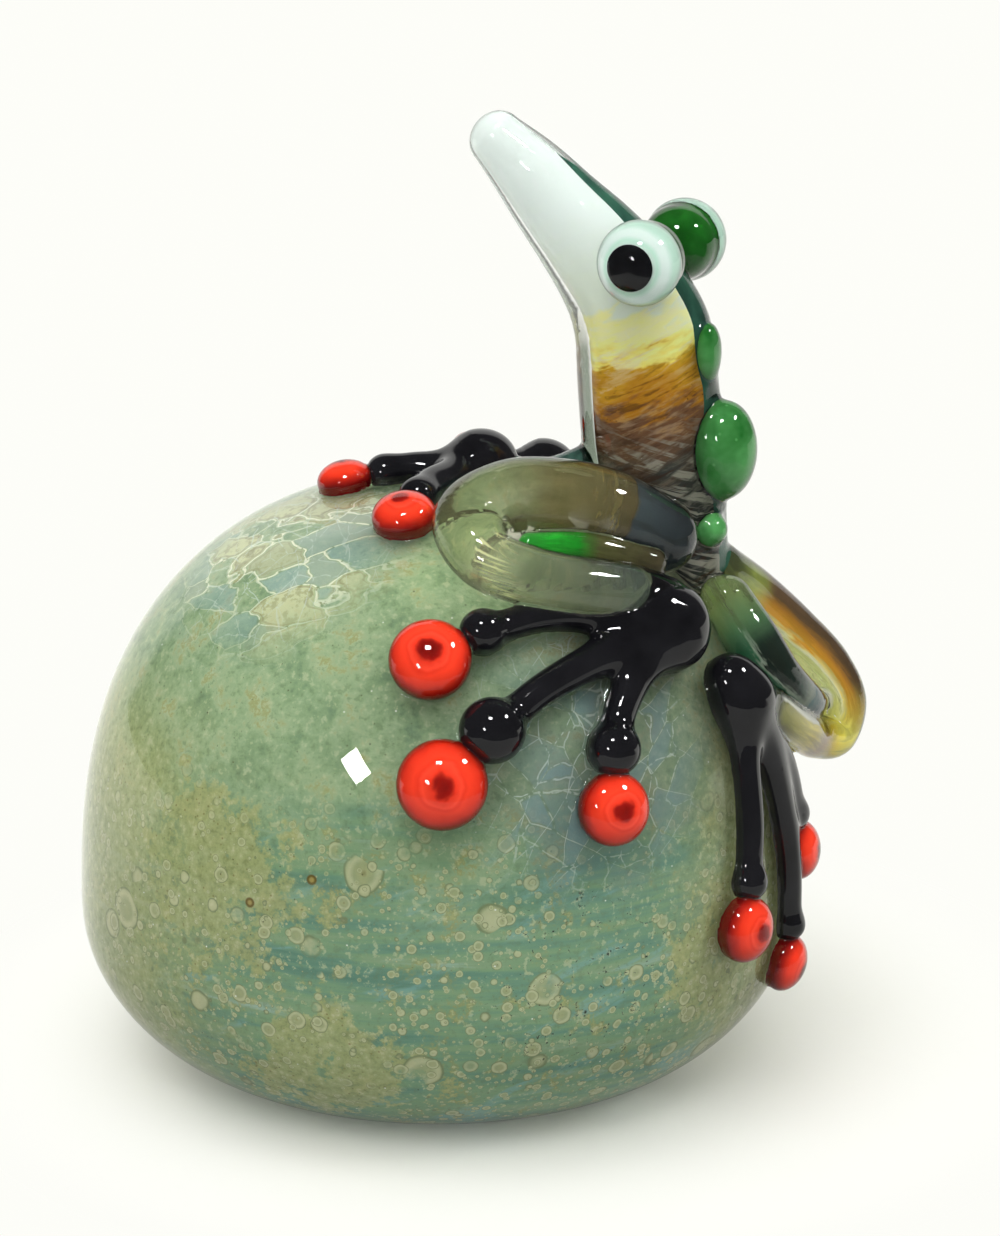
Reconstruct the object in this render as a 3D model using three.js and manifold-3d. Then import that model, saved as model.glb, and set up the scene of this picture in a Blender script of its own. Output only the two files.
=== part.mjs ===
// Glass frog paperweight: a frog of drawn glass canes, fused on a pebble of mottled glass under a clear skin.
// Millimetres and degrees, +Z up. The origin is the middle of the ground base, on the plane it stands on.
import * as THREE from "three";
import { mergeVertices } from "three/addons/utils/BufferGeometryUtils.js";
import Module from "manifold-3d";

const wasm = await Module();
wasm.setup();

// Pebble: its overall size, the belly where it is widest, the ground base and the clear skin.
const rockWidth = 100;
const rockDepth = 92;
const rockHeight = 82.5;
const bellyHeight = 23;
const baseWidth = 50;
const rockWall = 3;
const crownLean = 2.7; // the crown stands this far to the right of the base
const crownRoundness = 2.5; // 2 is an ellipse, and more is squarer
const footRoundness = 1.85;
const rockMiddle = 38; // height that the places on the pebble are seen from

// Every seam between two fused pieces, and the share of a drawn cane's radius that its coloured core takes.
const fuseGap = 0.3;
const coreShare = 0.62;

// Frog: where its rump stands on the pebble, and how far it is turned from facing left.
const rump = { turn: -10, tilt: 45.5 };
const heading = 22;

// Body cane from the rump to the snout: forward and up from the rump, then half its width and thickness.
const bodyStations = [
  { forward: 1, up: -6, wide: 5.2, deep: 5 },
  { forward: 0.8, up: -1.5, wide: 6.4, deep: 6.2 },
  { forward: 3.6, up: 5.5, wide: 9, deep: 8 },
  { forward: 5.2, up: 14.6, wide: 9.9, deep: 8.6 },
  { forward: 6.1, up: 21.4, wide: 9.8, deep: 8.3 },
  { forward: 7.1, up: 30.3, wide: 9.6, deep: 7.9 },
  { forward: 9.9, up: 36, wide: 8.3, deep: 7.2 },
  { forward: 14.2, up: 41.2, wide: 7.4, deep: 6 },
  { forward: 18.7, up: 45.9, wide: 6.3, deep: 4.9 },
  { forward: 23.4, up: 50.8, wide: 5.2, deep: 4 },
  { forward: 28, up: 55, wide: 3.9, deep: 3.4 },
];
const backLayerThick = 1.8;
const backLayerSpread = 0.7; // share of the core's thickness that the green layer on the back spreads over

// Beads down the back: place as on the body, then half the length, width and thickness.
const backBeads = [
  { name: "back_bead_upper", forward: -2.4, up: 28.8, aside: 1, long: 3.7, wide: 1.6, deep: 2.6 },
  { name: "back_bead_middle", forward: -4.5, up: 15.5, aside: 0, long: 6.7, wide: 4.4, deep: 4.8 },
  { name: "back_bead_lower", forward: -4, up: 5.3, aside: 3, long: 2.1, wide: 2.1, deep: 2.4 },
];

// Eyes: a ball on each side of the head, an opal cap over its outer face, a pupil on that, and a clear lens over all.
const eye = { forward: 4.5, up: 41.5, apart: 13 };
const eyeBallRadius = 5.1;
const irisRadius = 4.8;
const irisSeat = 0.5; // share of the ball's radius that the middle of the cap stands out
const irisDepth = 3.4; // half of its thickness, most of it round the ball
const pupilRadius = 2.9;
const pupilDepth = 0.8;
const lensWall = 0.8;

// Arms: shoulder forward, up and to the side on the body. The elbow is over the pebble and the wrist in the palm.
const shoulder = { forward: 11.9, up: 13.5, aside: 3 };
const shoulderRadius = 2.6;
const elbowRadius = 2.2;
const wristRadius = 1.9;

// Digits lie on the pebble. Each leaves the root of its hand or foot at a fan angle from the aim, anticlockwise
// from outside, runs its reach to the middle of its tip and bends by its sweep. The bulb is the black end behind
// the tip. The palm or heel is a short cane at its own fan angle, between two distances from the root.
const rootFlare = 1.2; // a digit is this much thicker where it starts
const digitStart = 0.12; // share of the length where the digit comes out from under the palm or heel
const bulbStart = 0.72; // share of the length where the shank begins to swell into the bulb
const bulbOverlap = 0.75; // share of the bulb's radius between its middle and the tip
const tipFlatness = 0.72; // the tips are flattened to this against the pebble
const tipStand = 0.3; // share of a tip's radius that its middle stands off the pebble
const limbs = [
  {
    name: "left_hand",
    elbow: { turn: -1.3, tilt: 71.8, lift: 1.6 },
    root: { turn: 23, tilt: 80.5 },
    aim: { turn: 175, tilt: 74.5 },
    pad: { name: "palm", radius: 2.6, fan: 0, from: 0, to: 2.4 },
    digit: { name: "finger", radius: 2.1 },
    digits: [
      { fan: 2, reach: 19.4, sweep: 0, bulb: 2.2, tip: 3.8 },
      { fan: 38, reach: 22, sweep: 37, bulb: 2.2, tip: 4.3 },
      { fan: -85, reach: 10.5, sweep: 0, bulb: 2.2, tip: 3.2, stand: 0.75 },
    ],
  },
  {
    name: "right_hand",
    elbow: { turn: 17.1, tilt: 59, lift: 2.25 },
    root: { turn: 57, tilt: 54 },
    aim: { turn: 100, tilt: 30 },
    pad: { name: "palm", radius: 2.6, fan: 0, from: 0, to: 2.4 },
    digit: { name: "finger", radius: 2.1 },
    digits: [
      { fan: -6, reach: 19, sweep: -4, bulb: 2.2, tip: 3.8 },
      { fan: -44, reach: 19.5, sweep: -14, bulb: 2.2, tip: 4.2 },
      { fan: 30, reach: 15.5, sweep: 6, bulb: 2.2, tip: 3.6 },
    ],
  },
  {
    name: "left_foot",
    root: { turn: -34.7, tilt: 36.7 },
    aim: { turn: -88, tilt: 20.7 },
    pad: { name: "heel", radius: 4.5, fan: -48, from: 3.5, to: 5.5 },
    digit: { name: "toe", radius: 1.8 },
    digits: [
      { fan: -46, reach: 36.3, sweep: 41, bulb: 2.9, tip: 5.3 },
      { fan: -19, reach: 40.7, sweep: 38, bulb: 4.2, tip: 5.8 },
      { fan: -6, reach: 28.6, sweep: 84, bulb: 3.4, tip: 4.8 },
    ],
  },
  {
    name: "right_foot",
    root: { turn: -29.5, tilt: 27.8 },
    aim: { turn: -19.9, tilt: -11.3 },
    pad: { name: "heel", radius: 3.4, fan: 0, from: 0, to: 2.5 },
    digit: { name: "toe", radius: 1.6 },
    digits: [
      { fan: -18, reach: 32.8, sweep: -10, bulb: 2.3, tip: 4.5 },
      { fan: 10.5, reach: 43.4, sweep: -26, bulb: 2, tip: 4 },
      { fan: 27, reach: 30.3, sweep: -33, bulb: 2, tip: 4.1 },
    ],
  },
];

// Hind legs: each cane leaves the hip, folds at the knee and comes back to the ankle. Its places are on the
// pebble, lifted off it. The first is the root of its core, inside the body, and the clear cane starts at the
// second. The calf is the teal wedge in the fold.
const legs = [
  {
    side: "left",
    cane: [
      { turn: -13, tilt: 47.5, lift: 3, radius: 4.6 },
      { turn: -27, tilt: 50.6, lift: 4.2, radius: 5 },
      { turn: -37, tilt: 56.6, lift: 5.5, radius: 5.6 },
      { turn: -48, tilt: 61.3, lift: 5.6, radius: 5.7 },
      { turn: -63, tilt: 64.2, lift: 5.3, radius: 5.5 },
      { turn: -78.3, tilt: 61.3, lift: 5, radius: 4.9 },
      { turn: -76.5, tilt: 55, lift: 4.3, radius: 4.1 },
      { turn: -66.8, tilt: 51.2, lift: 3.8, radius: 3.9 },
      { turn: -56.3, tilt: 48.2, lift: 3.6, radius: 3.8 },
      { turn: -45.5, tilt: 45.2, lift: 3.3, radius: 3.6 },
      { turn: -38, tilt: 42.4, lift: 3, radius: 3.2 },
    ],
    calf: [
      { turn: -36.5, tilt: 47.9, lift: 4, radius: 2.2 },
      { turn: -49, tilt: 53, lift: 4.4, radius: 2 },
      { turn: -63.6, tilt: 56.3, lift: 4.3, radius: 1.5 },
    ],
  },
  {
    side: "right",
    cane: [
      { turn: -11, tilt: 46, lift: 2, radius: 4.4 },
      { turn: -7, tilt: 41, lift: 0.5, radius: 4.4 },
      { turn: 0.5, tilt: 33, lift: 1.5, radius: 4.2 },
      { turn: 3.5, tilt: 24.5, lift: 4.1, radius: 4 },
      { turn: 3.6, tilt: 17.4, lift: 7, radius: 3.8 },
      { turn: 3, tilt: 11.9, lift: 8.2, radius: 3.4 },
      { turn: 1.5, tilt: 7.9, lift: 6.4, radius: 3.1 },
      { turn: -3, tilt: 9.4, lift: 3.4, radius: 2.9 },
      { turn: -12, tilt: 14.5, lift: 2.5, radius: 2.8 },
      { turn: -20.5, tilt: 19.5, lift: 2.4, radius: 2.8 },
      { turn: -27, tilt: 24.5, lift: 2.4, radius: 2.8 },
    ],
    calf: [
      { turn: -17, tilt: 37.5, lift: 1.6, radius: 3.6 },
      { turn: -19, tilt: 31, lift: 2.4, radius: 3.8 },
      { turn: -17.5, tilt: 24.5, lift: 3.2, radius: 3.3 },
      { turn: -9.5, tilt: 17.5, lift: 4.2, radius: 2.4 },
      { turn: 0.5, tilt: 13.6, lift: 4.8, radius: 1.5 },
    ],
  },
];

// Canes and digits on the pebble sink in until their middle is this share of their radius above the skin.
const laidLift = 0.5;

// Facets around and along each kind of piece.
const rockSides = 30;
const crownRows = 7;
const footRows = 4;
const bodySides = 14;
const coreSides = 10;
const caneSides = 10;
const digitSides = 7;
const layerSides = 6;
const stepsPerStation = 2;
const ballFacets = [12, 8];
const discFacets = [12, 6];
const pupilFacets = [10, 5];
const tipFacets = [10, 6];
const walkSteps = 10;
const endRings = [30, 60]; // degrees round from the side of a round end to its middle, at which it has a ring

// Working distances: how deep a cut passes below the base, how close two points are one, how far either side of a
// place its slope is read, and how often the search for the skin halves its range.
const cutDepth = 1;
const weldDistance = 1e-4;
const slopeStep = 0.05;
const searchHalvings = 40;

// Finish of each kind of glass.
const glass = (color, opacity = 1) =>
  new THREE.MeshStandardMaterial({
    color,
    roughness: 0.05,
    metalness: 0,
    opacity,
    transparent: opacity < 1,
  });
const clear = glass(0xdfe6dc, 0.35);
const mottled = glass(0x7f9c86);
const opal = glass(0xd9f0e6);
const green = glass(0x1c7a2a);
const teal = glass(0x2c5c52);
const black = glass(0x0b0b0d);
const red = glass(0xd8331c);
const amber = glass(0x9a7024);

const parts = new THREE.Group();
const laid = [];

// A solid of a closed surface.
function solid(geometry) {
  const plain = new THREE.BufferGeometry();
  plain.setAttribute("position", geometry.getAttribute("position"));
  plain.setIndex(geometry.index);
  const merged = mergeVertices(plain, weldDistance);
  return new wasm.Manifold(
    new wasm.Mesh({
      numProp: 3,
      vertProperties: merged.getAttribute("position").array,
      triVerts: new Uint32Array(merged.index.array),
    }),
  );
}

// The largest body of a solid: a cut between two curved pieces can leave slivers beside it.
function largest(shape) {
  const bodies = shape.decompose();
  return bodies.reduce((best, body) => (body.volume() > best.volume() ? body : best));
}

// The solid as a named mesh in the group.
function place(name, shape, material) {
  const made = largest(shape).getMesh();
  const geometry = new THREE.BufferGeometry();
  geometry.setAttribute("position", new THREE.BufferAttribute(made.vertProperties, 3));
  geometry.setIndex(new THREE.BufferAttribute(made.triVerts, 1));
  geometry.computeVertexNormals();
  const mesh = new THREE.Mesh(geometry, material);
  mesh.name = name;
  parts.add(mesh);
}

// Glass is laid on hot, so each piece takes the shape of those already there: it is cut by them, a seam wider.
function seat(shape) {
  return laid.reduce((rest, earlier) => rest.subtract(earlier), shape);
}

// Lays a piece on those before it. build(grow) makes its outer shape, grown by that much.
function lay(name, build, material) {
  place(name, seat(build(0)), material);
  laid.push(build(fuseGap));
}

// Half the pebble's width at a height, as a share of the belly's: a superellipse above and below the belly.
function rockShare(height, skin) {
  const above = height > bellyHeight;
  const roundness = above ? crownRoundness : footRoundness;
  const span = above ? rockHeight + skin - bellyHeight : bellyHeight;
  const least = above ? 0 : baseWidth / rockWidth;
  const fall = Math.abs(height - bellyHeight) / span;
  if (fall > 1) return least + 1 - fall;
  return least + (1 - least) * (1 - fall ** roundness) ** (1 / roundness);
}

const leanAt = (height) => crownLean * (Math.max(height, 0) / rockHeight) ** 3;

// The pebble's skin moved out by some millimetres, or in where that is negative. Its foot reaches down below the
// base where a cut has to pass through.
function rockSolid(skin, foot = 0) {
  const profile = [new THREE.Vector2(0, -foot)];
  if (foot > 0) profile.push(new THREE.Vector2(baseWidth / rockWidth, -foot));
  for (let i = -footRows; i < crownRows; i++) {
    const above = i > 0;
    const roundness = above ? crownRoundness : footRoundness;
    const span = above ? rockHeight + skin - bellyHeight : -bellyHeight;
    const angle = (Math.abs(i) * Math.PI) / 2 / (above ? crownRows : footRows);
    const slant = (Math.sin(angle) ** roundness + Math.cos(angle) ** roundness) ** (1 / roundness);
    const height = bellyHeight + (span * Math.sin(angle)) / slant;
    profile.push(new THREE.Vector2(rockShare(height, skin), height));
  }
  profile.push(new THREE.Vector2(0, rockHeight + skin));
  const turned = new THREE.LatheGeometry(profile, rockSides);
  turned.rotateX(Math.PI / 2);
  turned.scale(rockWidth / 2 + skin, rockDepth / 2 + skin, 1);
  const position = turned.getAttribute("position");
  for (let i = 0; i < position.count; i++) {
    position.setX(i, position.getX(i) + leanAt(position.getZ(i)));
  }
  return solid(turned);
}

// Less than zero inside the pebble, more outside.
function outsideRock(point) {
  const share = rockShare(point.z, 0);
  const across = ((point.x - leanAt(point.z)) * 2) / rockWidth;
  return Math.hypot(across, (point.y * 2) / rockDepth) - share;
}

const rockHeart = new THREE.Vector3(0, 0, rockMiddle);

// The place on the pebble's skin that lies in a direction from its middle.
function onRock(direction) {
  const ray = direction.clone().normalize();
  let near = 0;
  let far = rockWidth;
  for (let i = 0; i < searchHalvings; i++) {
    const reach = (near + far) / 2;
    if (outsideRock(rockHeart.clone().addScaledVector(ray, reach)) < 0) near = reach;
    else far = reach;
  }
  return rockHeart.clone().addScaledVector(ray, near);
}

// Square to the skin at a place on it.
function rockNormal(place) {
  const slope = (axis) => {
    const step = new THREE.Vector3().setComponent(axis, slopeStep);
    return outsideRock(place.clone().add(step)) - outsideRock(place.clone().sub(step));
  };
  return new THREE.Vector3(slope(0), slope(1), slope(2)).normalize();
}

// A place on the pebble by its turn about the vertical and its tilt above level, seen from the middle.
function seen({ turn, tilt, lift = 0 }) {
  const level = THREE.MathUtils.degToRad(turn);
  const rise = THREE.MathUtils.degToRad(tilt);
  const out = Math.cos(rise);
  const spot = onRock(new THREE.Vector3(out * Math.cos(level), out * Math.sin(level), Math.sin(rise)));
  return spot.addScaledVector(rockNormal(spot), lift);
}

// A line over the skin from a root, at a fan angle from the direction of the aim, turning by the sweep on the way.
function trail({ root, aim }, { fan = 0, reach, sweep = 0 }) {
  const path = [seen(root)];
  let normal = rockNormal(path[0]);
  const toward = seen(aim).sub(path[0]);
  toward.applyAxisAngle(normal, THREE.MathUtils.degToRad(fan));
  for (let i = 0; i < walkSteps; i++) {
    const last = path[i];
    toward.projectOnPlane(normal).setLength(reach / walkSteps);
    const next = onRock(last.clone().add(toward).sub(rockHeart));
    normal = rockNormal(next);
    toward.subVectors(next, last).applyAxisAngle(normal, THREE.MathUtils.degToRad(sweep / walkSteps));
    path.push(next);
  }
  return new THREE.CatmullRomCurve3(path);
}

// A place on the skin, lifted off it.
function lifted(spot, lift) {
  return spot.clone().addScaledVector(rockNormal(spot), lift);
}

// A closed surface over rings of points, with a point at each end.
function skinOver(rings, first, last) {
  const count = rings[0].length;
  const points = [first, ...rings.flat(), last];
  const faces = [];
  const end = points.length - 1;
  for (let k = 0; k < count; k++) {
    const next = (k + 1) % count;
    faces.push(0, 1 + next, 1 + k);
    for (let i = 0; i < rings.length - 1; i++) {
      const low = 1 + i * count;
      const high = low + count;
      faces.push(low + k, low + next, high + next, low + k, high + next, high + k);
    }
    faces.push(end, end - count + k, end - count + next);
  }
  const geometry = new THREE.BufferGeometry().setFromPoints(points);
  geometry.setIndex(faces);
  return solid(geometry);
}

// A cane of changing section with round ends. Each station has its place, and its radius or its half width and
// half thickness; across is the direction of the thickness at the start.
function cane(stations, { across, sides = caneSides, grow = 0 }) {
  const curve = new THREE.CatmullRomCurve3(
    stations.map((station) => station.at),
    false,
    "centripetal",
  );
  const count = (stations.length - 1) * stepsPerStation;
  const sections = [];
  for (let i = 0; i <= count; i++) {
    const index = Math.min(Math.floor(i / stepsPerStation), stations.length - 2);
    const part = THREE.MathUtils.smoothstep(i / stepsPerStation - index, 0, 1);
    const [from, to] = [stations[index], stations[index + 1]];
    sections.push({
      at: curve.getPoint(i / count),
      along: curve.getTangent(i / count),
      wide: THREE.MathUtils.lerp(from.wide ?? from.radius, to.wide ?? to.radius, part) + grow,
      deep: THREE.MathUtils.lerp(from.deep ?? from.radius, to.deep ?? to.radius, part) + grow,
    });
  }
  const rings = [];
  const thick = across.clone();
  const ring = ({ at, along, wide, deep }, shift, share) => {
    const broad = new THREE.Vector3().crossVectors(along, thick).normalize();
    const loop = [];
    for (let k = 0; k < sides; k++) {
      const angle = (k * 2 * Math.PI) / sides;
      loop.push(
        at
          .clone()
          .addScaledVector(along, shift)
          .addScaledVector(thick, Math.cos(angle) * deep * share)
          .addScaledVector(broad, Math.sin(angle) * wide * share),
      );
    }
    rings.push(loop);
  };
  const cap = (section, way) => {
    const bulge = Math.min(section.wide, section.deep);
    const turns = way < 0 ? endRings.toReversed() : endRings;
    for (const turn of turns) {
      const angle = THREE.MathUtils.degToRad(turn);
      ring(section, way * bulge * Math.sin(angle), Math.cos(angle));
    }
    return section.at.clone().addScaledVector(section.along, way * bulge);
  };
  const square = (section) => thick.projectOnPlane(section.along).normalize();
  square(sections[0]);
  const first = cap(sections[0], -1);
  for (const section of sections) {
    square(section);
    ring(section, 0, 1);
  }
  const last = cap(sections[count], 1);
  return skinOver(rings, first, last);
}

// A bead: half its size along an axis, and across it in the direction given and square to both.
function bead(at, axis, { along, wide, deep, across, grow = 0, facets = tipFacets }) {
  const ball = new THREE.SphereGeometry(1, ...facets);
  const frame = new THREE.Matrix4();
  const side = across.clone().projectOnPlane(axis).normalize();
  const third = new THREE.Vector3().crossVectors(side, axis);
  frame.makeBasis(
    side.clone().multiplyScalar(wide + grow),
    axis.clone().multiplyScalar(along + grow),
    third.multiplyScalar(deep + grow),
  );
  ball.applyMatrix4(frame.setPosition(at));
  return solid(ball);
}

// Frog's own directions from its rump.
const rumpAt = seen(rump);
const ahead = new THREE.Vector3(-1, 0, 0).applyAxisAngle(
  new THREE.Vector3(0, 0, 1),
  -THREE.MathUtils.degToRad(heading),
);
const up = new THREE.Vector3(0, 0, 1);
const leftward = new THREE.Vector3().crossVectors(up, ahead);
const sideSign = { left: 1, right: -1 };

function onFrog({ forward, up: high, aside = 0 }) {
  return rumpAt
    .clone()
    .addScaledVector(ahead, forward)
    .addScaledVector(up, high)
    .addScaledVector(leftward, aside);
}

// The body cane, or one inside it at a share of its section, grown by some millimetres.
function bodyCane(share, grow, sides = bodySides) {
  const stations = bodyStations.map((station) => ({
    at: onFrog(station),
    wide: station.wide * share,
    deep: station.deep * share,
  }));
  return cane(stations, { across: leftward, sides, grow });
}

// Pebble: the clear skin is open where the base is ground through it, and the core shows there.
const rockOuter = rockSolid(0);
place("rock_casing", rockOuter.subtract(rockSolid(-rockWall, cutDepth)), clear);
place("rock_core", rockSolid(-rockWall - fuseGap), mottled);
laid.push(rockSolid(fuseGap));

// Beads down the back.
for (const spot of backBeads) {
  lay(
    spot.name,
    (grow) =>
      bead(onFrog(spot), up, {
        along: spot.long,
        wide: spot.wide,
        deep: spot.deep,
        across: ahead,
        grow,
      }),
    green,
  );
}

// Eyes.
for (const [side, way] of Object.entries(sideSign)) {
  const outward = leftward.clone().multiplyScalar(way);
  const middle = onFrog({ ...eye, aside: (way * eye.apart) / 2 });
  const disc = (reach, radius, depth, facets) => (grow) =>
    bead(middle.clone().addScaledVector(outward, reach), outward, {
      along: depth,
      wide: radius,
      deep: radius,
      across: up,
      grow,
      facets,
    });
  const ball = disc(0, eyeBallRadius, eyeBallRadius, ballFacets);
  const irisReach = eyeBallRadius * irisSeat;
  const iris = disc(irisReach, irisRadius, irisDepth, discFacets);
  const pupil = disc(irisReach + irisDepth, pupilRadius, pupilDepth, pupilFacets);
  const lens = disc(irisReach, irisRadius + lensWall, irisDepth + pupilDepth + lensWall, discFacets);
  lay(`${side}_eye_ball`, ball, green);
  lay(`${side}_eye_pupil`, pupil, black);
  lay(`${side}_eye_iris`, iris, opal);
  lay(`${side}_eye_lens`, lens, clear);
}

// Body: a coloured core with a green layer along its back, in a clear cane.
const backLayerAt = (grow) => {
  const stations = bodyStations.slice(1, -1).map((station) => {
    const reach = station.wide * coreShare - fuseGap - backLayerThick / 2;
    return {
      at: onFrog(station).addScaledVector(backOf(station), reach),
      wide: backLayerThick / 2,
      deep: station.deep * coreShare * backLayerSpread,
    };
  });
  return cane(stations, { across: leftward, sides: layerSides, grow });
};

// The direction of the back at a body station, square to the cane.
function backOf(station) {
  const index = bodyStations.indexOf(station);
  const before = onFrog(bodyStations[index - 1]);
  const after = onFrog(bodyStations[index + 1]);
  return after.sub(before).cross(leftward).normalize();
}
const drawnCore = bodyCane(coreShare, -fuseGap, coreSides);
place("back_layer", seat(backLayerAt(0).intersect(drawnCore)), green);
place("body_core", seat(drawnCore.subtract(backLayerAt(fuseGap))), opal);
place("body_casing", seat(bodyCane(1, 0).subtract(bodyCane(coreShare, 0, coreSides))), clear);
laid.push(bodyCane(1, fuseGap));

// Hind legs: a clear cane with an amber core, which runs on into the hip and stops short of the ankle, and the calf
// in its fold.
for (const leg of legs) {
  const stations = leg.cane.map((station) => ({ at: seen(station), radius: station.radius }));
  const inner = stations.map(({ at, radius }) => ({ at, radius: radius * coreShare }));
  const across = rockNormal(seen(leg.cane[0]));
  const outer = (grow) => cane(stations.slice(1), { across, grow });
  const hollow = cane(inner.slice(0, -1), { across, sides: digitSides });
  place(`${leg.side}_leg_casing`, seat(outer(0).subtract(hollow)), clear);
  place(
    `${leg.side}_leg_core`,
    seat(cane(inner.slice(0, -1), { across, sides: digitSides, grow: -fuseGap })),
    amber,
  );
  laid.push(outer(fuseGap));
}
for (const leg of legs) {
  const stations = leg.calf.map((station) => ({ at: seen(station), radius: station.radius }));
  const across = rockNormal(seen(leg.calf[0]));
  lay(`${leg.side}_calf`, (grow) => cane(stations, { across, grow, sides: digitSides }), teal);
}

// Hands and feet: the palm or heel, the arm to the palm, then each digit and its tip.
for (const limb of limbs) {
  const { pad, digit } = limb;
  const side = limb.name.split("_")[0];
  const padEnds = [pad.from, pad.to].map((reach) => ({
    at: lifted(trail(limb, { fan: pad.fan, reach }).getPoint(1), pad.radius * laidLift),
    radius: pad.radius,
  }));
  const across = rockNormal(seen(limb.root));
  lay(`${limb.name}_${pad.name}`, (grow) => cane(padEnds, { across, grow }), black);
  if (limb.elbow) {
    const joints = [
      { at: onFrog({ ...shoulder, aside: shoulder.aside * sideSign[side] }), radius: shoulderRadius },
      { at: seen(limb.elbow), radius: elbowRadius },
      { at: padEnds[0].at, radius: wristRadius },
    ];
    lay(`${side}_arm`, (grow) => cane(joints, { across: up, grow }), teal);
  }
  limb.digits.forEach((spec, index) => {
    const line = trail(limb, spec);
    const end = 1 - (spec.tip + bulbOverlap * spec.bulb) / spec.reach;
    const stations = [
      { share: digitStart, radius: digit.radius + rootFlare },
      { share: bulbStart / 2, radius: digit.radius },
      { share: bulbStart, radius: digit.radius },
      { share: 1, radius: spec.bulb },
    ].map(({ share, radius }) => ({ at: lifted(line.getPoint(share * end), radius * laidLift), radius }));
    const tipSpot = line.getPoint(1);
    const tipSize = { along: spec.tip * tipFlatness, wide: spec.tip, deep: spec.tip, across: up };
    const tipAt = lifted(tipSpot, spec.tip * (spec.stand ?? tipStand));
    lay(
      `${limb.name}_${digit.name}_${index + 1}`,
      (grow) => cane(stations, { across, grow, sides: digitSides }),
      black,
    );
    lay(
      `${limb.name}_tip_${index + 1}`,
      (grow) => bead(tipAt, rockNormal(tipSpot), { ...tipSize, grow }),
      red,
    );
  });
}

export default parts;
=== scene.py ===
"""Glass frog paperweight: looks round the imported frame. Shapes are in millimetres and made in metres."""
import math

import bpy
import numpy as np
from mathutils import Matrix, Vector


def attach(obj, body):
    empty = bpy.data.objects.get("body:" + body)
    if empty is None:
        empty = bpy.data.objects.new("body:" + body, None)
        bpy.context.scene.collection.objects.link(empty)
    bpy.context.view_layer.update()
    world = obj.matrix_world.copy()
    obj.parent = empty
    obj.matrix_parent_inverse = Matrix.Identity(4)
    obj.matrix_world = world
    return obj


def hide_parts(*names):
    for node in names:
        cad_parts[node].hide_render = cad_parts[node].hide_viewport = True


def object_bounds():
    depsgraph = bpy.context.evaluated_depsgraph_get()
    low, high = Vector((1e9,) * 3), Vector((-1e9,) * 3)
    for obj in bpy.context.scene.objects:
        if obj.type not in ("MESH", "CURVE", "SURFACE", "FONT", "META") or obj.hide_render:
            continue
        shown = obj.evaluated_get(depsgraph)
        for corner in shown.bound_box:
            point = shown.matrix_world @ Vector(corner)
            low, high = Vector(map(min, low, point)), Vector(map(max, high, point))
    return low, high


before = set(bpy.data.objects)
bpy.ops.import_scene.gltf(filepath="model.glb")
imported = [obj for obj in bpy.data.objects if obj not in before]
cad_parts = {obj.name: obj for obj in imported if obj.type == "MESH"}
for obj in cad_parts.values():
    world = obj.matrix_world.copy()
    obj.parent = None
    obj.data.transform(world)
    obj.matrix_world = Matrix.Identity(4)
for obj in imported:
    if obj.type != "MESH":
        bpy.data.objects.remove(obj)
cad_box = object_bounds()
MM = 0.001

# Pebble.
ROCK_WIDTH, ROCK_DEPTH, ROCK_HEIGHT = 100, 92, 82.5
BELLY_HEIGHT, BASE_SHARE, ROCK_WALL = 23, 0.5, 3
CROWN_LEAN, CROWN_ROUNDNESS, FOOT_ROUNDNESS = 2.7, 2.5, 1.85
HEART = np.array((0.0, 0.0, 38.0))
MEAN_HALF = 48

# Frog. A turn is about the vertical and a tilt above level, both in degrees and seen from the pebble's heart.
RUMP = (-10, 45.5)  # turn, tilt
HEADING = 22
BODY = [  # forward, up, half width, half thickness
    (1, -6, 5.2, 5), (0.8, -1.5, 6.4, 6.2), (3.6, 5.5, 9, 8), (5.2, 14.6, 9.9, 8.6), (6.1, 21.4, 9.8, 8.3),
    (7.1, 30.3, 9.6, 7.9), (9.9, 36, 8.3, 7.2), (14.2, 41.2, 7.4, 6), (18.7, 45.9, 6.3, 4.9),
    (23.4, 50.8, 5.2, 4), (28, 55, 3.9, 3.4),
]
EVEN_BELOW, EVEN_FADE = 108, 12  # the body's bends are evened below this height, and less and less above it
CORE_SHARE = 0.62
BODY_FILL = 0.66
STRIP_THICKNESS, STRIP_PROUD, STRIP_ASIDE = 1.2, 0.3, -0.3
STRIP_SHARES = [0.55] * 6 + [0.5, 0.4, 0.2]
BEADS = [  # name, forward, up, aside, half length, half width, half thickness
    ("back_bead_upper", -2.4, 28.8, 1, 3.7, 1.6, 2.6),
    ("back_bead_middle", -4.5, 15.5, 0, 6.7, 4.4, 4.8),
    ("back_bead_lower", -4, 5.3, 3, 2.1, 2.1, 2.4),
]
EYE = (4.5, 41.5, 6.5)  # forward, up, aside
EYE_PARTS = [  # ball, iris, pupil and lens: how far out, half thickness, radius, softness
    (0, 5.1, 5.1, 0.6), (2.2, 3.75, 5.15, 0.2), (5.95, 0.8, 2.9, 0.2), (2.55, 5.0, 5.6, 0.5),
]
SHOULDER = (11.9, 13.5, 3)
ARM = [2.6, 2.2, 1.9]
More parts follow.
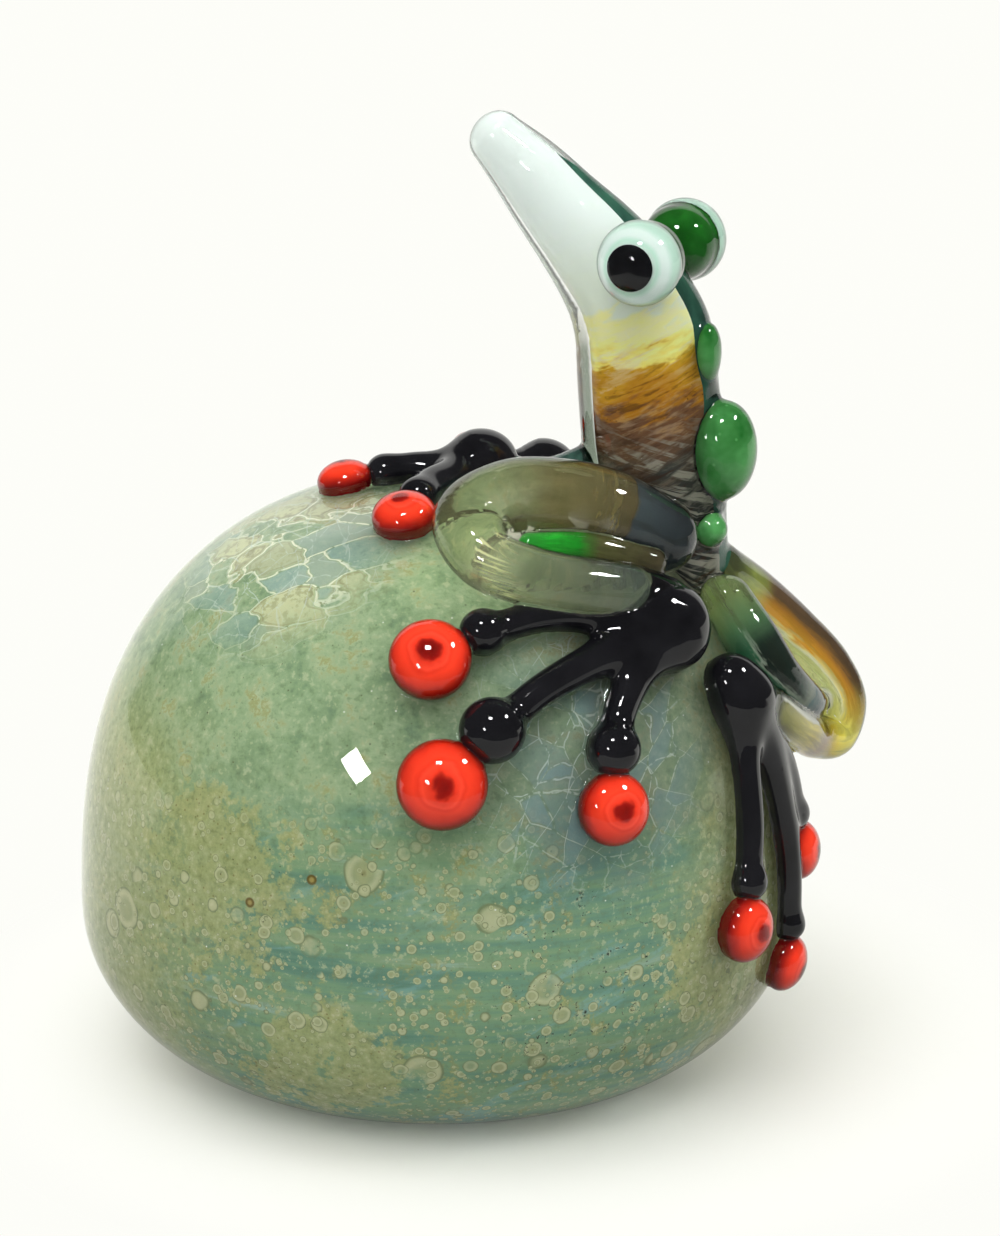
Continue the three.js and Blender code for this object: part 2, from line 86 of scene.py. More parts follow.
# An elbow is forward, up and aside. A root is the turn and tilt that a limb starts from, and its aim that of where
# it points. A pad is a word, a radius, a fan angle off the aim, and where it starts and ends. A digit is a word and
# a radius, and digits are fan angle, reach, sweep, bulb radius and tip radius.
LIMBS = {
    "left_hand": dict(
        elbow=(20.1, 10.3, 2), root=(23, 80.5), aim=(175, 74.5), pad=("palm", 2.6, 0, 0, 2.4),
        digit=("finger", 2.1),
        digits=[(2, 19.4, 0, 2.2, 3.8), (38, 22, 37, 2.2, 4.3), (-85, 10.5, 0, 2.2, 3.2)],
    ),
    "right_hand": dict(
        elbow=(14, 8, -9), root=(57, 54), aim=(100, 30), pad=("palm", 2.6, 0, 0, 2.4), digit=("finger", 2.1),
        digits=[(-6, 19, -4, 2.2, 3.8), (-44, 19.5, -14, 2.2, 4.2), (30, 15.5, 6, 2.2, 3.6)],
    ),
    "left_foot": dict(
        root=(-34.7, 36.7), aim=(-88, 20.7), pad=("heel", 4.5, -48, 3.5, 5.5), digit=("toe", 1.8),
        digits=[(-46, 36.3, 41, 2.9, 5.3), (-19, 40.7, 38, 4.2, 5.8), (-6, 28.6, 84, 3.4, 4.8)],
    ),
    "right_foot": dict(
        root=(-29.5, 27.8), aim=(-19.9, -11.3), pad=("heel", 3.4, 0, 0, 2.5), digit=("toe", 1.6),
        digits=[(-18, 32.8, -10, 2.3, 4.5), (10.5, 43.4, -26, 2, 4), (27, 30.3, -33, 2, 4.1)],
    ),
}
LEGS = {  # turn, tilt, lift off the pebble, radius
    "left": dict(
        cane=[(-13, 47.5, 3, 4.6), (-27, 50.6, 4.2, 5), (-37, 56.6, 5.5, 5.6), (-48, 61.3, 5.6, 5.7),
              (-63, 64.2, 5.3, 5.5), (-78.3, 61.3, 5, 4.9), (-76.5, 55, 4.3, 4.1), (-66.8, 51.2, 3.8, 3.9),
              (-56.3, 48.2, 3.6, 3.8), (-45.5, 45.2, 3.3, 3.6), (-38, 42.4, 3, 3.2)],
        calf=[(-36.5, 47.9, 4, 2.2), (-49, 53, 4.4, 2), (-63.6, 56.3, 4.3, 1.5)],
    ),
    "right": dict(
        cane=[(-11, 46, 2, 4.4), (-7, 41, 0.5, 4.4), (0.5, 33, 1.5, 4.2), (3.5, 24.5, 4.1, 4),
              (3.6, 17.4, 7, 3.8), (3, 11.9, 8.2, 3.4), (1.5, 7.9, 6.4, 3.1), (-3, 9.4, 3.4, 2.9),
              (-12, 14.5, 2.5, 2.8), (-20.5, 19.5, 2.4, 2.8), (-27, 24.5, 2.4, 2.8)],
        calf=[(-17, 37.5, 1.6, 3.6), (-19, 31, 2.4, 3.8), (-17.5, 24.5, 3.2, 3.3), (-9.5, 17.5, 4.2, 2.4),
              (0.5, 13.6, 4.8, 1.5)],
    ),
}
TIP_FLATNESS = 0.72
BUBBLES = [(-15.1, -39.7, 40.5), (-23, -36.8, 36.3)]  # under the skin, low on the left
STAND, STANDS = 0.3, {"left_hand_3": 0.75}  # how high a tip stands, as a share of its radius
STOUT = {"left_foot_1": 0.9, "left_foot_2": 0.3}  # how much thicker a digit starts
WEB = 4.5  # how far the digits of a limb melt into each other
DIGIT_SOFTNESS = 1.0
UP = np.array((0.0, 0.0, 1.0))

# Skins.
INSET = 0.2
PROUD = 0.06
FARTHEST, HALVINGS = 120.0, 40  # how far out the pebble's skin is looked for, and in how many halvings
NOWHERE = 50.0  # a distance that stands for no shape near
AT_ONCE = 50000


def unit(v):
    return v / np.linalg.norm(v, axis=-1, keepdims=True)


def turned(v, axis, degrees):
    """A direction turned about an axis."""
    cosine, sine = math.cos(math.radians(degrees)), math.sin(math.radians(degrees))
    return v * cosine + np.cross(axis, v) * sine + axis * (axis @ v) * (1 - cosine)


def rock_reach():
    """How far the skin is from the heart, as a smooth series in the sine of the height angle."""
    fine, flat, blur, terms = 400, 200, 24, 30
    turn = np.radians(np.linspace(0, 90, fine))
    out, rise = np.cos(turn), np.sin(turn)
    low = (out**FOOT_ROUNDNESS + rise**FOOT_ROUNDNESS) ** (-1 / FOOT_ROUNDNESS)
    high = (out**CROWN_ROUNDNESS + rise**CROWN_ROUNDNESS) ** (-1 / CROWN_ROUNDNESS)
    foot = BASE_SHARE + (1 - BASE_SHARE) * out * low
    share = np.concatenate((np.linspace(0, BASE_SHARE, flat), foot[::-1], out * high))
    below = (BELLY_HEIGHT * (1 - rise * low))[::-1]
    span = ROCK_HEIGHT - BELLY_HEIGHT
    height = np.concatenate((np.zeros(flat), below, BELLY_HEIGHT + span * rise * high))
    angle = np.arctan2(height - HEART[2], share * MEAN_HALF)
    reach = np.hypot(height - HEART[2], share * MEAN_HALF)
    order = np.argsort(angle)
    even = np.radians(np.linspace(-90, 90, 721))
    values = np.interp(even, angle[order], reach[order])
    steps = np.arange(-blur, blur + 1)
    weights = np.exp(-((steps / (blur / 3)) ** 2) / 2)
    padded = np.pad(values, blur, mode="reflect")
    smooth = np.convolve(padded, weights / weights.sum(), mode="valid")
    return np.polynomial.chebyshev.chebfit(np.sin(even), smooth, terms)


REACH = rock_reach()


def rock(p):
    """Distance outside the pebble."""
    q = p - HEART
    q[:, 0] -= CROWN_LEAN * (np.clip(p[:, 2], 0, None) / ROCK_HEIGHT) ** 3
    q[:, 0] *= 2 * MEAN_HALF / ROCK_WIDTH
    q[:, 1] *= 2 * MEAN_HALF / ROCK_DEPTH
    far = np.maximum(np.linalg.norm(q, axis=1), 1e-6)
    return far - np.polynomial.chebyshev.chebval(q[:, 2] / far, REACH)


def slope(field, p, step=0.04):
    """The gradient of a field."""
    out = np.empty_like(p)
    for axis in range(3):
        shift = np.zeros(3)
        shift[axis] = step
        out[:, axis] = (field(p + shift) - field(p - shift)) / (2 * step)
    return out


def on_rock(direction):
    """The place on the pebble's skin that a direction from the heart meets."""
    ray = unit(np.asarray(direction, float))
    near, far = 0.0, FARTHEST
    for _ in range(HALVINGS):
        reach = (near + far) / 2
        if rock((HEART + ray * reach)[None])[0] < 0:
            near = reach
        else:
            far = reach
    return HEART + ray * near


def rock_normal(spot):
    return unit(slope(rock, spot[None])[0])


def seen(turn, tilt, lift=0):
    """A place on the pebble by its turn about the vertical and its tilt above level, seen from the heart."""
    turn, tilt = math.radians(turn), math.radians(tilt)
    out = math.cos(tilt)
    return lifted(on_rock((out * math.cos(turn), out * math.sin(turn), math.sin(tilt))), lift)


def lifted(spot, lift):
    return spot + rock_normal(spot) * lift


def trail(limb, fan, reach, sweep=0, steps=10):
    """A line over the skin from a limb's root."""
    path = [seen(*limb["root"])]
    normal = rock_normal(path[0])
    toward = turned(seen(*limb["aim"]) - path[0], normal, fan)
    for _ in range(steps):
        toward = unit(toward - normal * (toward @ normal)) * reach / steps
        spot = on_rock(path[-1] + toward - HEART)
        normal = rock_normal(spot)
        toward = turned(spot - path[-1], normal, sweep / steps)
        path.append(spot)
    return np.array(path)


def curve(points, shares):
    """Places and directions at shares of a smooth line through points."""
    points = np.asarray(points, float)
    ends = (2 * points[0] - points[1])[None], (2 * points[-1] - points[-2])[None]
    full = np.concatenate((ends[0], points, ends[1]))
    gaps = np.sqrt(np.linalg.norm(np.diff(full, axis=0), axis=1)).clip(1e-4)
    place = np.asarray(shares) * (len(points) - 1)
    index = np.clip(place.astype(int), 0, len(points) - 2)
    t = (place - index)[:, None]
    p0, p1, p2, p3 = (full[index + k] for k in range(4))
    d0, d1, d2 = (gaps[index + k][:, None] for k in range(3))
    m1 = ((p1 - p0) / d0 - (p2 - p0) / (d0 + d1) + (p2 - p1) / d1) * d1
    m2 = ((p2 - p1) / d1 - (p3 - p1) / (d1 + d2) + (p3 - p2) / d2) * d1
    c2, c3 = -3 * p1 + 3 * p2 - 2 * m1 - m2, 2 * p1 - 2 * p2 + m1 + m2
    return p1 + m1 * t + c2 * t**2 + c3 * t**3, m1 + 2 * c2 * t + 3 * c3 * t**2


def eased(values, shares):
    """Numbers at shares of a smooth line through values."""
    values = np.asarray(values, float)
    slopes = np.gradient(values)
    place = np.asarray(shares) * (len(values) - 1)
    index = np.clip(place.astype(int), 0, len(values) - 2)
    t = place - index
    a, b, m, n = values[index], values[index + 1], slopes[index], slopes[index + 1]
    first = (2 * t**3 - 3 * t**2 + 1) * a + (t**3 - 2 * t**2 + t) * m
    return first + (3 * t**2 - 2 * t**3) * b + (t**3 - t**2) * n


def egg(off, axes, sizes):
    """Distance outside an ellipsoid, near its surface."""
    parts = [np.einsum("ij,ij->i", off, np.broadcast_to(axis, off.shape)) for axis in axes]
    k0 = np.sqrt(sum((part / size) ** 2 for part, size in zip(parts, sizes)))
    k1 = np.sqrt(sum((part / size**2) ** 2 for part, size in zip(parts, sizes)))
    return k0 * (k0 - 1) / np.maximum(k1, 1e-6)


class Cane:
    """A cane of changing section with round ends."""

    def __init__(self, at, wide, deep=None, across=UP, soft=1.0, fine=10, even=0.0):
        self.even = even
        deep = wide if deep is None else deep
        share = np.linspace(0, 1, (len(at) - 1) * fine + 1)
        self.at, along = curve(at, share)
        self.along = unit(along)
        self.wide, self.deep = eased(wide, share), eased(deep, share)
        self.soft = soft
        thick = np.asarray(across, float)
        self.thick = []
        for direction in self.along:
            thick = unit(thick - direction * (thick @ direction))
            self.thick.append(thick)
        self.thick = np.array(self.thick)
        self.broad = np.cross(self.along, self.thick)
        gap = np.linalg.norm(np.diff(self.at, axis=0), axis=1) / 2
        self.back, self.fore = -np.append(0, gap), np.append(gap, 0)
        run = np.append(0, np.cumsum(gap * 2))
        self.run = run / run[-1]
        self.widening, self.deepening = np.gradient(self.wide, run), np.gradient(self.deep, run)
        most = max(self.wide.max(), self.deep.max())
        self.low, self.high = self.at.min(0) - most, self.at.max(0) + most

    def nearest(self, p):
        index = np.empty(len(p), int)
        for start in range(0, len(p), AT_ONCE):
            part = p[start:start + AT_ONCE]
            far = (self.at**2).sum(1)[None] - 2 * part @ self.at.T
            index[start:start + AT_ONCE] = far.argmin(1)
        return index

    def __call__(self, p):
        if not self.even:
            return self.distance(p)
        shifts = np.concatenate((np.eye(3), -np.eye(3))) * self.even
        level = np.clip((p[:, 2] - EVEN_BELOW) / EVEN_FADE, 0, 1)
        out = self.distance(p)
        near = np.abs(out) < 3
        evened = sum(self.distance(p[near] + shift) for shift in shifts) / len(shifts)
        level = level[near]
        out[near] = evened + (out[near] - evened) * level * level * (3 - 2 * level)
        return out

    def distance(self, p):
        i = self.nearest(p)
        off = p - self.at[i]
        run = np.clip((off * self.along[i]).sum(1), self.back[i], self.fore[i])
        off = off - self.along[i] * run[:, None]
        wide = self.wide[i] + self.widening[i] * run
        deep = self.deep[i] + self.deepening[i] * run
        return egg(off, (self.broad[i], self.thick[i], self.along[i]), (wide, deep, np.minimum(wide, deep)))


class Bead:
    """An ellipsoid with its sizes along an axis and across it."""

    def __init__(self, at, axis, along, wide, deep, across=UP, soft=1.0):
        self.at, self.axis, self.soft = np.asarray(at, float), unit(np.asarray(axis, float)), soft
        side = unit(across - self.axis * (across @ self.axis))
        self.axes, self.sizes = (side, self.axis, np.cross(side, self.axis)), (wide, along, deep)
        most = max(self.sizes)
        self.low, self.high = self.at - most, self.at + most

    def __call__(self, p):
        return egg(p - self.at, self.axes, self.sizes)


def softly(a, b, soft):
    """The nearer of two distances, rounded where they meet."""
    blend = np.maximum(soft - np.abs(a - b), 0) / soft
    return np.minimum(a, b) - blend**3 * soft / 6


class Joined:
    """Shapes fused together, less those taken away, inset by some millimetres."""

    def __init__(self, shapes, base=None, less=(), inset=0.0, clear=0.1, soft=1.0):
        self.soft = soft
        self.shapes, self.base, self.less, self.inset, self.clear = shapes, base, less, inset, clear
        if shapes:
            swell = max(s.soft for s in shapes) / 4
            self.low = np.min([s.low for s in shapes], axis=0) - swell
            self.high = np.max([s.high for s in shapes], axis=0) + swell

    def __call__(self, p):
        out = self.base(p) if self.base else np.full(len(p), NOWHERE)
        for shape in self.shapes:
            reach = shape.soft + 2
            close = np.all((p > shape.low - reach) & (p < shape.high + reach), axis=1)
            if close.any():
                out[close] = softly(out[close], shape(p[close]), shape.soft)
        out = out + self.inset
        for shape in self.less:
            close = np.all((p > shape.low - 3) & (p < shape.high + 3), axis=1)
            if close.any():
                out[close] = np.maximum(out[close], self.clear - shape(p[close]))
        return out


def surface(field, low, high, step):
    """Points and four-sided faces over the zero of a field, by one point in each cell that it crosses."""
    axes = [np.arange(a - 1.5 * step, b + 2.5 * step, step) for a, b in zip(low, high)]
    shape = tuple(len(a) for a in axes)
    value = np.empty(shape, np.float32)
    plane = np.stack(np.meshgrid(axes[1], axes[2], indexing="ij"), -1).reshape(-1, 2)
    slab = max(1, int(8 * AT_ONCE / len(plane)))
    for start in range(0, shape[0], slab):
        xs = axes[0][start:start + slab]
        p = np.empty((len(xs) * len(plane), 3))
        p[:, 0] = np.repeat(xs, len(plane))
        p[:, 1:] = np.tile(plane, (len(xs), 1))
        value[start:start + len(xs)] = field(p).reshape(len(xs), shape[1], shape[2])
    origin = np.array([a[0] for a in axes])
    number = np.full(shape, -1, np.int64)
    inside = value < 0
    crossings = []
    for axis in range(3):
        first = [slice(None)] * 3
        second = [slice(None)] * 3
        first[axis], second[axis] = slice(None, -1), slice(1, None)
        cut = np.argwhere(inside[tuple(first)] != inside[tuple(second)])
        after = cut.copy()
        after[:, axis] += 1
        a, b = value[tuple(cut.T)], value[tuple(after.T)]
        spot = cut.astype(float)
        spot[:, axis] += a / (a - b)
        crossings.append((axis, cut, spot, a < 0))
    cells, sums, faces = [], [], []
    for axis, cut, spot, _ in crossings:
        one, two = (axis + 1) % 3, (axis + 2) % 3
        for i, j in ((0, 0), (1, 0), (1, 1), (0, 1)):
            cell = cut.copy()
            cell[:, one] -= i
            cell[:, two] -= j
            cells.append(np.ravel_multi_index(cell.T, shape))
            sums.append(spot)
    cells, sums = np.concatenate(cells), np.concatenate(sums)
    kept, slot = np.unique(cells, return_inverse=True)
    total = np.stack([np.bincount(slot, sums[:, k]) for k in range(3)], 1)
    points = origin + step * total / np.bincount(slot)[:, None]
    start = 0
    for axis, cut, spot, out in crossings:
        quad = slot[start:start + 4 * len(cut)].reshape(4, len(cut)).T
        start += 4 * len(cut)
        faces.append(np.where(out[:, None], quad, quad[:, ::-1]))
    return points, np.concatenate(faces)


def settled(points, faces, field, rounds=2):
    """The points spread evenly and moved onto the zero of the field, and the directions square to it."""
    pairs = np.concatenate([faces[:, [k, (k + 1) % 4]] for k in range(4)])
    pairs = np.concatenate((pairs, pairs[:, ::-1]))
    here, there = pairs.T
    count = np.bincount(here, minlength=len(points))[:, None]
    kept, pull, least, most = 0.4, 0.6, 0.25, 0.6
    for turn in range(rounds + 1):
        if turn:
            near = np.stack([np.bincount(here, points[there, k], len(points)) for k in range(3)], 1)
            points = points * kept + near / count * pull
        for _ in range(2 if turn < rounds else 3):
            steep = slope(field, points)
            size = np.maximum((steep**2).sum(1), least)
            move = np.clip(field(points) / size, -most, most)[:, None]
            points = points - steep * move
    return points, unit(slope(field, points))


def piece(name, field, material, nodes=(), low=None, high=None, step=0.5, marks=None):
    """A piece whose skin is the zero of a field. It rides on the root and stands for its CAD nodes."""
    low = field.low if low is None else low
    high = field.high if high is None else high
    points, faces = surface(field, low, high, step)
    points, normals = settled(points, faces, field)
    points[:, 2] = np.maximum(points[:, 2], 0)
    mesh = bpy.data.meshes.new(name)
    mesh.vertices.add(len(points))
    mesh.vertices.foreach_set("co", (points * MM).ravel())
    mesh.loops.add(faces.size)
    mesh.loops.foreach_set("vertex_index", faces.ravel())
    mesh.polygons.add(len(faces))
    mesh.polygons.foreach_set("loop_start", np.arange(0, faces.size, 4))
    mesh.update()
    mesh.validate()
    mesh.shade_smooth()
    if len(mesh.vertices) == len(normals):
        mesh.normals_split_custom_set_from_vertices(normals.tolist())
    for title, values in (marks(points, normals) if marks else {}).items():
        mesh.attributes.new(title, "FLOAT", "POINT").data.foreach_set("value", np.asarray(values, np.float32))
    mesh.materials.append(material)
    made = bpy.data.objects.new(name, mesh)
    bpy.context.scene.collection.objects.link(made)
    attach(made, "root")
    if nodes:
        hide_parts(*nodes)
    return made


class Glaze:
    """A material written as calls on its nodes."""

    def __init__(self, name):
        self.material = bpy.data.materials.new(name)
        self.material.use_nodes = True
        self.tree = self.material.node_tree
        self.tree.nodes.clear()
        self.output = self.tree.nodes.new("ShaderNodeOutputMaterial")
        self.spot = None

    def node(self, kind, inputs=None, **settings):
        made = self.tree.nodes.new("ShaderNode" + kind)
        for key, value in settings.items():
            setattr(made, key, value)
        for key, value in (inputs or {}).items():
            self.put(made.inputs[key], value)
        return made

    def put(self, socket, value):
        if isinstance(value, bpy.types.NodeSocket):
            self.tree.links.new(value, socket)
        elif isinstance(value, (tuple, list)) and socket.type == "RGBA":
            socket.default_value = (*value[:3], 1)
        else:
            socket.default_value = value

    def at(self, scale=1.0, slant=(0, 0, 0), shift=(0, 0, 0)):
        """Places in millimetres, turned by a slant and then times a scale along each axis."""
        if self.spot is None:
            self.spot = self.node("TexCoord").outputs["Object"]
        scale = (scale,) * 3 if isinstance(scale, (int, float)) else scale
        spot = self.spot
        if any(slant):
            turned_spot = self.node("Mapping", {"Vector": spot})
            turned_spot.inputs["Rotation"].default_value = [math.radians(t) for t in slant]
            spot = turned_spot.outputs[0]
        mapping = self.node("Mapping", {"Vector": spot})
        mapping.inputs["Scale"].default_value = [1000 * s for s in scale]
        mapping.inputs["Location"].default_value = shift
        return mapping.outputs[0]

    def noise(self, at, detail=3.0, rough=0.55):
        inputs = {"Vector": at, "Scale": 1.0, "Detail": detail, "Roughness": rough}
        return self.node("TexNoise", inputs).outputs["Fac"]

    def cells(self, at, output="Distance", feature="F1"):
        return self.node("TexVoronoi", {"Vector": at, "Scale": 1.0}, feature=feature).outputs[output]

    def cracks(self, at):
        """How far a place is from the border between two cells."""
        return self.cells(at, feature="DISTANCE_TO_EDGE")

    def luck(self, at):
        """Chance numbers that are the same all over a cell."""
        return self.node("SeparateColor", {"Color": self.cells(at, "Color")}).outputs

    def wavy(self, at, amount, scale=1.0):
        """A place moved about by noise."""
        noise = self.node("TexNoise", {"Vector": at, "Scale": scale, "Detail": 2.0})
        halves = {0: noise.outputs["Color"], 1: (0.5, 0.5, 0.5)}
        centred = self.node("VectorMath", halves, operation="SUBTRACT")
        moved = self.node("VectorMath", {0: centred.outputs[0], 3: amount}, operation="SCALE")
        return self.node("VectorMath", {0: at, 1: moved.outputs[0]}, operation="ADD").outputs[0]

    def math(self, operation, a, b=0.0, c=0.0):
        made = self.node("Math", operation=operation)
        for socket, value in zip(made.inputs, (a, b, c)):
            self.put(socket, value)
        return made.outputs[0]

    def step(self, value, low, high, out_low=0.0, out_high=1.0):
        """Goes smoothly from out_low to out_high as the value goes from low to high."""
        made = self.node("MapRange", {"Value": value}, interpolation_type="SMOOTHSTEP")
        for key, number in (("From Min", low), ("From Max", high), ("To Min", out_low), ("To Max", out_high)):
            made.inputs[key].default_value = number
        return made.outputs[0]

    def chained(self, operation, values):
        out = values[0]
        for value in values[1:]:
            out = self.math(operation, out, value)
        return out

    def times(self, *values):
        return self.chained("MULTIPLY", values)

    def plus(self, *values):
        return self.chained("ADD", values)

    def most(self, *values):
        return self.chained("MAXIMUM", values)

    def swing(self, value, size):
        """A noise as a swing about nought."""
        return self.times(self.math("SUBTRACT", value, 0.5), size)

    def ramp(self, fac, stops):
        made = self.node("ValToRGB", {"Fac": fac})
        elements = made.color_ramp.elements
        while len(elements) < len(stops):
            elements.new(0.5)
        for element, (place, colour) in zip(elements, stops):
            element.position, element.color = place, (*colour, 1)
        return made.outputs["Color"]

    def mix(self, fac, a, b):
        made = self.node("Mix", data_type="RGBA")
        self.put(made.inputs[0], fac)
        self.put(made.inputs[6], a)
        self.put(made.inputs[7], b)
        return made.outputs[2]

    def axis(self, name):
        """A place's X, Y or Z in millimetres."""
        return self.node("SeparateXYZ", {"Vector": self.at()}).outputs[name]

    def ball(self, centre, inner, outer):
        """One within the inner distance of a place, and nothing beyond the outer."""
        far = self.node("VectorMath", {0: self.at(), 1: centre}, operation="DISTANCE").outputs["Value"]
        return self.step(far, inner, outer, 1, 0)

    def mark(self, name):
        return self.node("Attribute", attribute_name=name).outputs["Fac"]

    def bump(self, height, strength, distance=0.2):
        return self.node("Bump", {"Height": height, "Strength": strength,
                                  "Distance": distance * MM}).outputs[0]

    def body(self, colour, rough, normal, **settings):
        """The piece's own glass, opaque."""
        inputs = {"Base Color": colour, "Roughness": rough, "Normal": normal}
        inputs.update({key.replace("_", " "): value for key, value in settings.items()})
        return self.node("BsdfPrincipled", inputs).outputs[0]

    def glass(self, colour, normal, ior=1.5, rough=0.0):
        """Clear glass that lets the lamps' light through."""
        inputs = {"Base Color": colour, "Roughness": rough, "IOR": ior, "Normal": normal}
        clear = self.node("BsdfPrincipled", inputs)
        clear.inputs["Transmission Weight"].default_value = 1.0
        see = self.node("BsdfTransparent", {"Color": colour}).outputs[0]
        shadow = self.node("LightPath").outputs["Is Shadow Ray"]
        return self.blend(shadow, clear.outputs[0], see)

    def blend(self, fac, a, b):
        made = self.node("MixShader")
        for socket, value in zip(made.inputs, (fac, a, b)):
            self.put(socket, value)
        return made.outputs[0]

    def done(self, shader):
        self.put(self.output.inputs["Surface"], shader)
        return self.material


def clear_skin():
    g = Glaze("clear_glass_skin")
    sway = g.noise(g.at(0.09), 1.0)
    # Painted shade: the skin's tint turns dark where it faces away from the camera on the parts standing off the
    # pebble, and in the throat's thick clear band, standing for the dark surroundings that the glass shows there.
    facing = g.node("LayerWeight", {"Blend": 0.5}).outputs["Facing"]
    edge = g.times(g.step(facing, 0.46, 0.86), g.mark("cane"), 0.94)
    deep = g.times(g.step(facing, 0.3, 0.44), g.mark("throat"))
    tint = g.mix(deep, (0.985, 0.995, 0.985), (0.045, 0.065, 0.042))
    tint = g.mix(edge, tint, (0.05, 0.06, 0.05))
    return g.done(g.glass(tint, g.bump(sway, 0.03, 1.0), rough=0.02))


def mottled_rock():
    g = Glaze("mottled_frit_glass")
    x, y, z = (g.axis(k) for k in "XYZ")
    big = g.noise(g.wavy(g.at(0.045), 0.8), 3.0, 0.55)
    mid = g.noise(g.wavy(g.at(0.16, shift=(7, 3, 1)), 0.7), 4.0, 0.6)
    fine = g.noise(g.at(0.9), 4.0, 0.65)
    grain = g.noise(g.at(2.6), 2.0, 0.6)
    streak = g.noise(g.wavy(g.at((0.035, 0.035, 0.42)), 0.35), 4.0, 0.6)
    upper = g.step(g.plus(z, g.swing(big, 40.0)), 36, 54)

    # Ground: grey green above, teal with level streaks below.
    cloud = g.plus(mid, g.swing(fine, 0.4))
    ground = g.ramp(cloud, [(0.28, (0.2, 0.31, 0.19)), (0.4, (0.28, 0.4, 0.23)), (0.52, (0.37, 0.49, 0.29)),
                            (0.66, (0.52, 0.61, 0.39))])
    teal = g.ramp(streak, [(0.28, (0.11, 0.25, 0.19)), (0.42, (0.16, 0.32, 0.23)), (0.54, (0.23, 0.38, 0.22)),
                           (0.64, (0.27, 0.4, 0.24)), (0.76, (0.38, 0.54, 0.46))])
    wisp = g.noise(g.wavy(g.at((0.05, 0.05, 0.22), slant=(0, 20, 0), shift=(3, 8, 5)), 0.8), 4.0, 0.6)
    teal = g.mix(g.times(g.step(wisp, 0.56, 0.66), 0.6), teal, (0.24, 0.46, 0.45))
    base = g.mix(upper, teal, ground)
    brown = g.times(g.step(mid, 0.52, 0.62), g.step(fine, 0.42, 0.58), 0.75)
    base = g.mix(brown, base, (0.34, 0.33, 0.12))
    base = g.mix(g.times(g.step(fine, 0.56, 0.66), 0.7), base, (0.52, 0.58, 0.36))
    base = g.mix(g.times(g.step(fine, 0.44, 0.34), 0.3), base, (0.16, 0.22, 0.12))

    # Beige masses: down the left side, up the right side and in patches low on the front.
    left = g.step(g.plus(x, g.swing(mid, 30.0)), -24, -40)
    heart = g.most(g.ball((-27, -33, 38), 5, 19), g.ball((-13, -38, 14), 4, 18))
    heart = g.most(heart, g.most(g.ball((37, -26, 25), 3, 17), g.ball((4, 38, 30), 6, 30)))
    grit = g.plus(g.swing(mid, 1.9), g.swing(fine, 0.9))
    patch = g.step(g.plus(g.times(heart, 0.6), grit), 0.24, 0.44)
    low = g.step(z, 62, 48)
    right = g.step(g.plus(x, g.times(mid, 20.0)), 36, 50)
    sides = g.times(g.most(left, right), g.step(z, 64, 46))
    mass = g.most(g.times(patch, low), sides)
    beige = g.ramp(fine, [(0.3, (0.28, 0.3, 0.12)), (0.46, (0.4, 0.42, 0.18)), (0.6, (0.48, 0.5, 0.24)),
                          (0.72, (0.58, 0.58, 0.34))])
    base = g.mix(g.times(mass, 0.8), base, beige)
    fleck = g.times(mass, g.step(g.cells(g.at(1.1, shift=(1, 5, 3))), 0.2, 0.12), g.step(mid, 0.44, 0.56),
                    0.7)
    base = g.mix(fleck, base, (0.22, 0.19, 0.07))

    # Rosettes: round beads of frit of all sizes, with a dark rim and a paler ring.
    crowd = g.plus(g.times(big, 0.5), g.times(mid, 0.5))
    for scale, small, wide, seed, thick in (
        (0.13, 0.2, 0.42, 3, 0.6), (0.3, 0.16, 0.4, 11, 0.35), (0.52, 0.18, 0.42, 23, 0.3),
        (1.0, 0.15, 0.36, 31, 0.4),
    ):
        spot = g.wavy(g.at(scale, shift=(seed, seed * 2, seed * 3)), 0.12, 2.2)
        near = g.cells(spot)
        luck = g.luck(spot)
        part = g.math("DIVIDE", near, g.step(luck[1], 0, 1, small, wide))
        here = g.times(g.step(luck[0], thick, thick + 0.02), g.step(crowd, 0.4, 0.5),
                       g.step(g.plus(z, g.times(big, 26.0)), 68, 54))
        tone = g.ramp(part, [(0.05, (0.24, 0.22, 0.1)), (0.2, (0.44, 0.46, 0.25)), (0.5, (0.4, 0.44, 0.25)),
                             (0.7, (0.62, 0.64, 0.4)), (0.83, (0.56, 0.58, 0.36)),
                             (0.92, (0.17, 0.22, 0.12)), (1.0, (0.17, 0.23, 0.13))])
        tone = g.mix(0.2, tone, beige)
        base = g.mix(g.times(here, g.step(part, 1.0, 0.94), 0.9), base, tone)

    # Dark pits and white pinpricks.
    pit = g.times(g.step(g.cells(g.at(0.75, shift=(4, 9, 2))), 0.12, 0.06), g.step(grain, 0.45, 0.6))
    base = g.mix(g.times(pit, 0.75), base, (0.08, 0.07, 0.03))
    glint = g.step(g.cells(g.at(0.34, shift=(14, 1, 8))), 0.05, 0.03)
    base = g.mix(glint, base, (0.85, 0.87, 0.8))

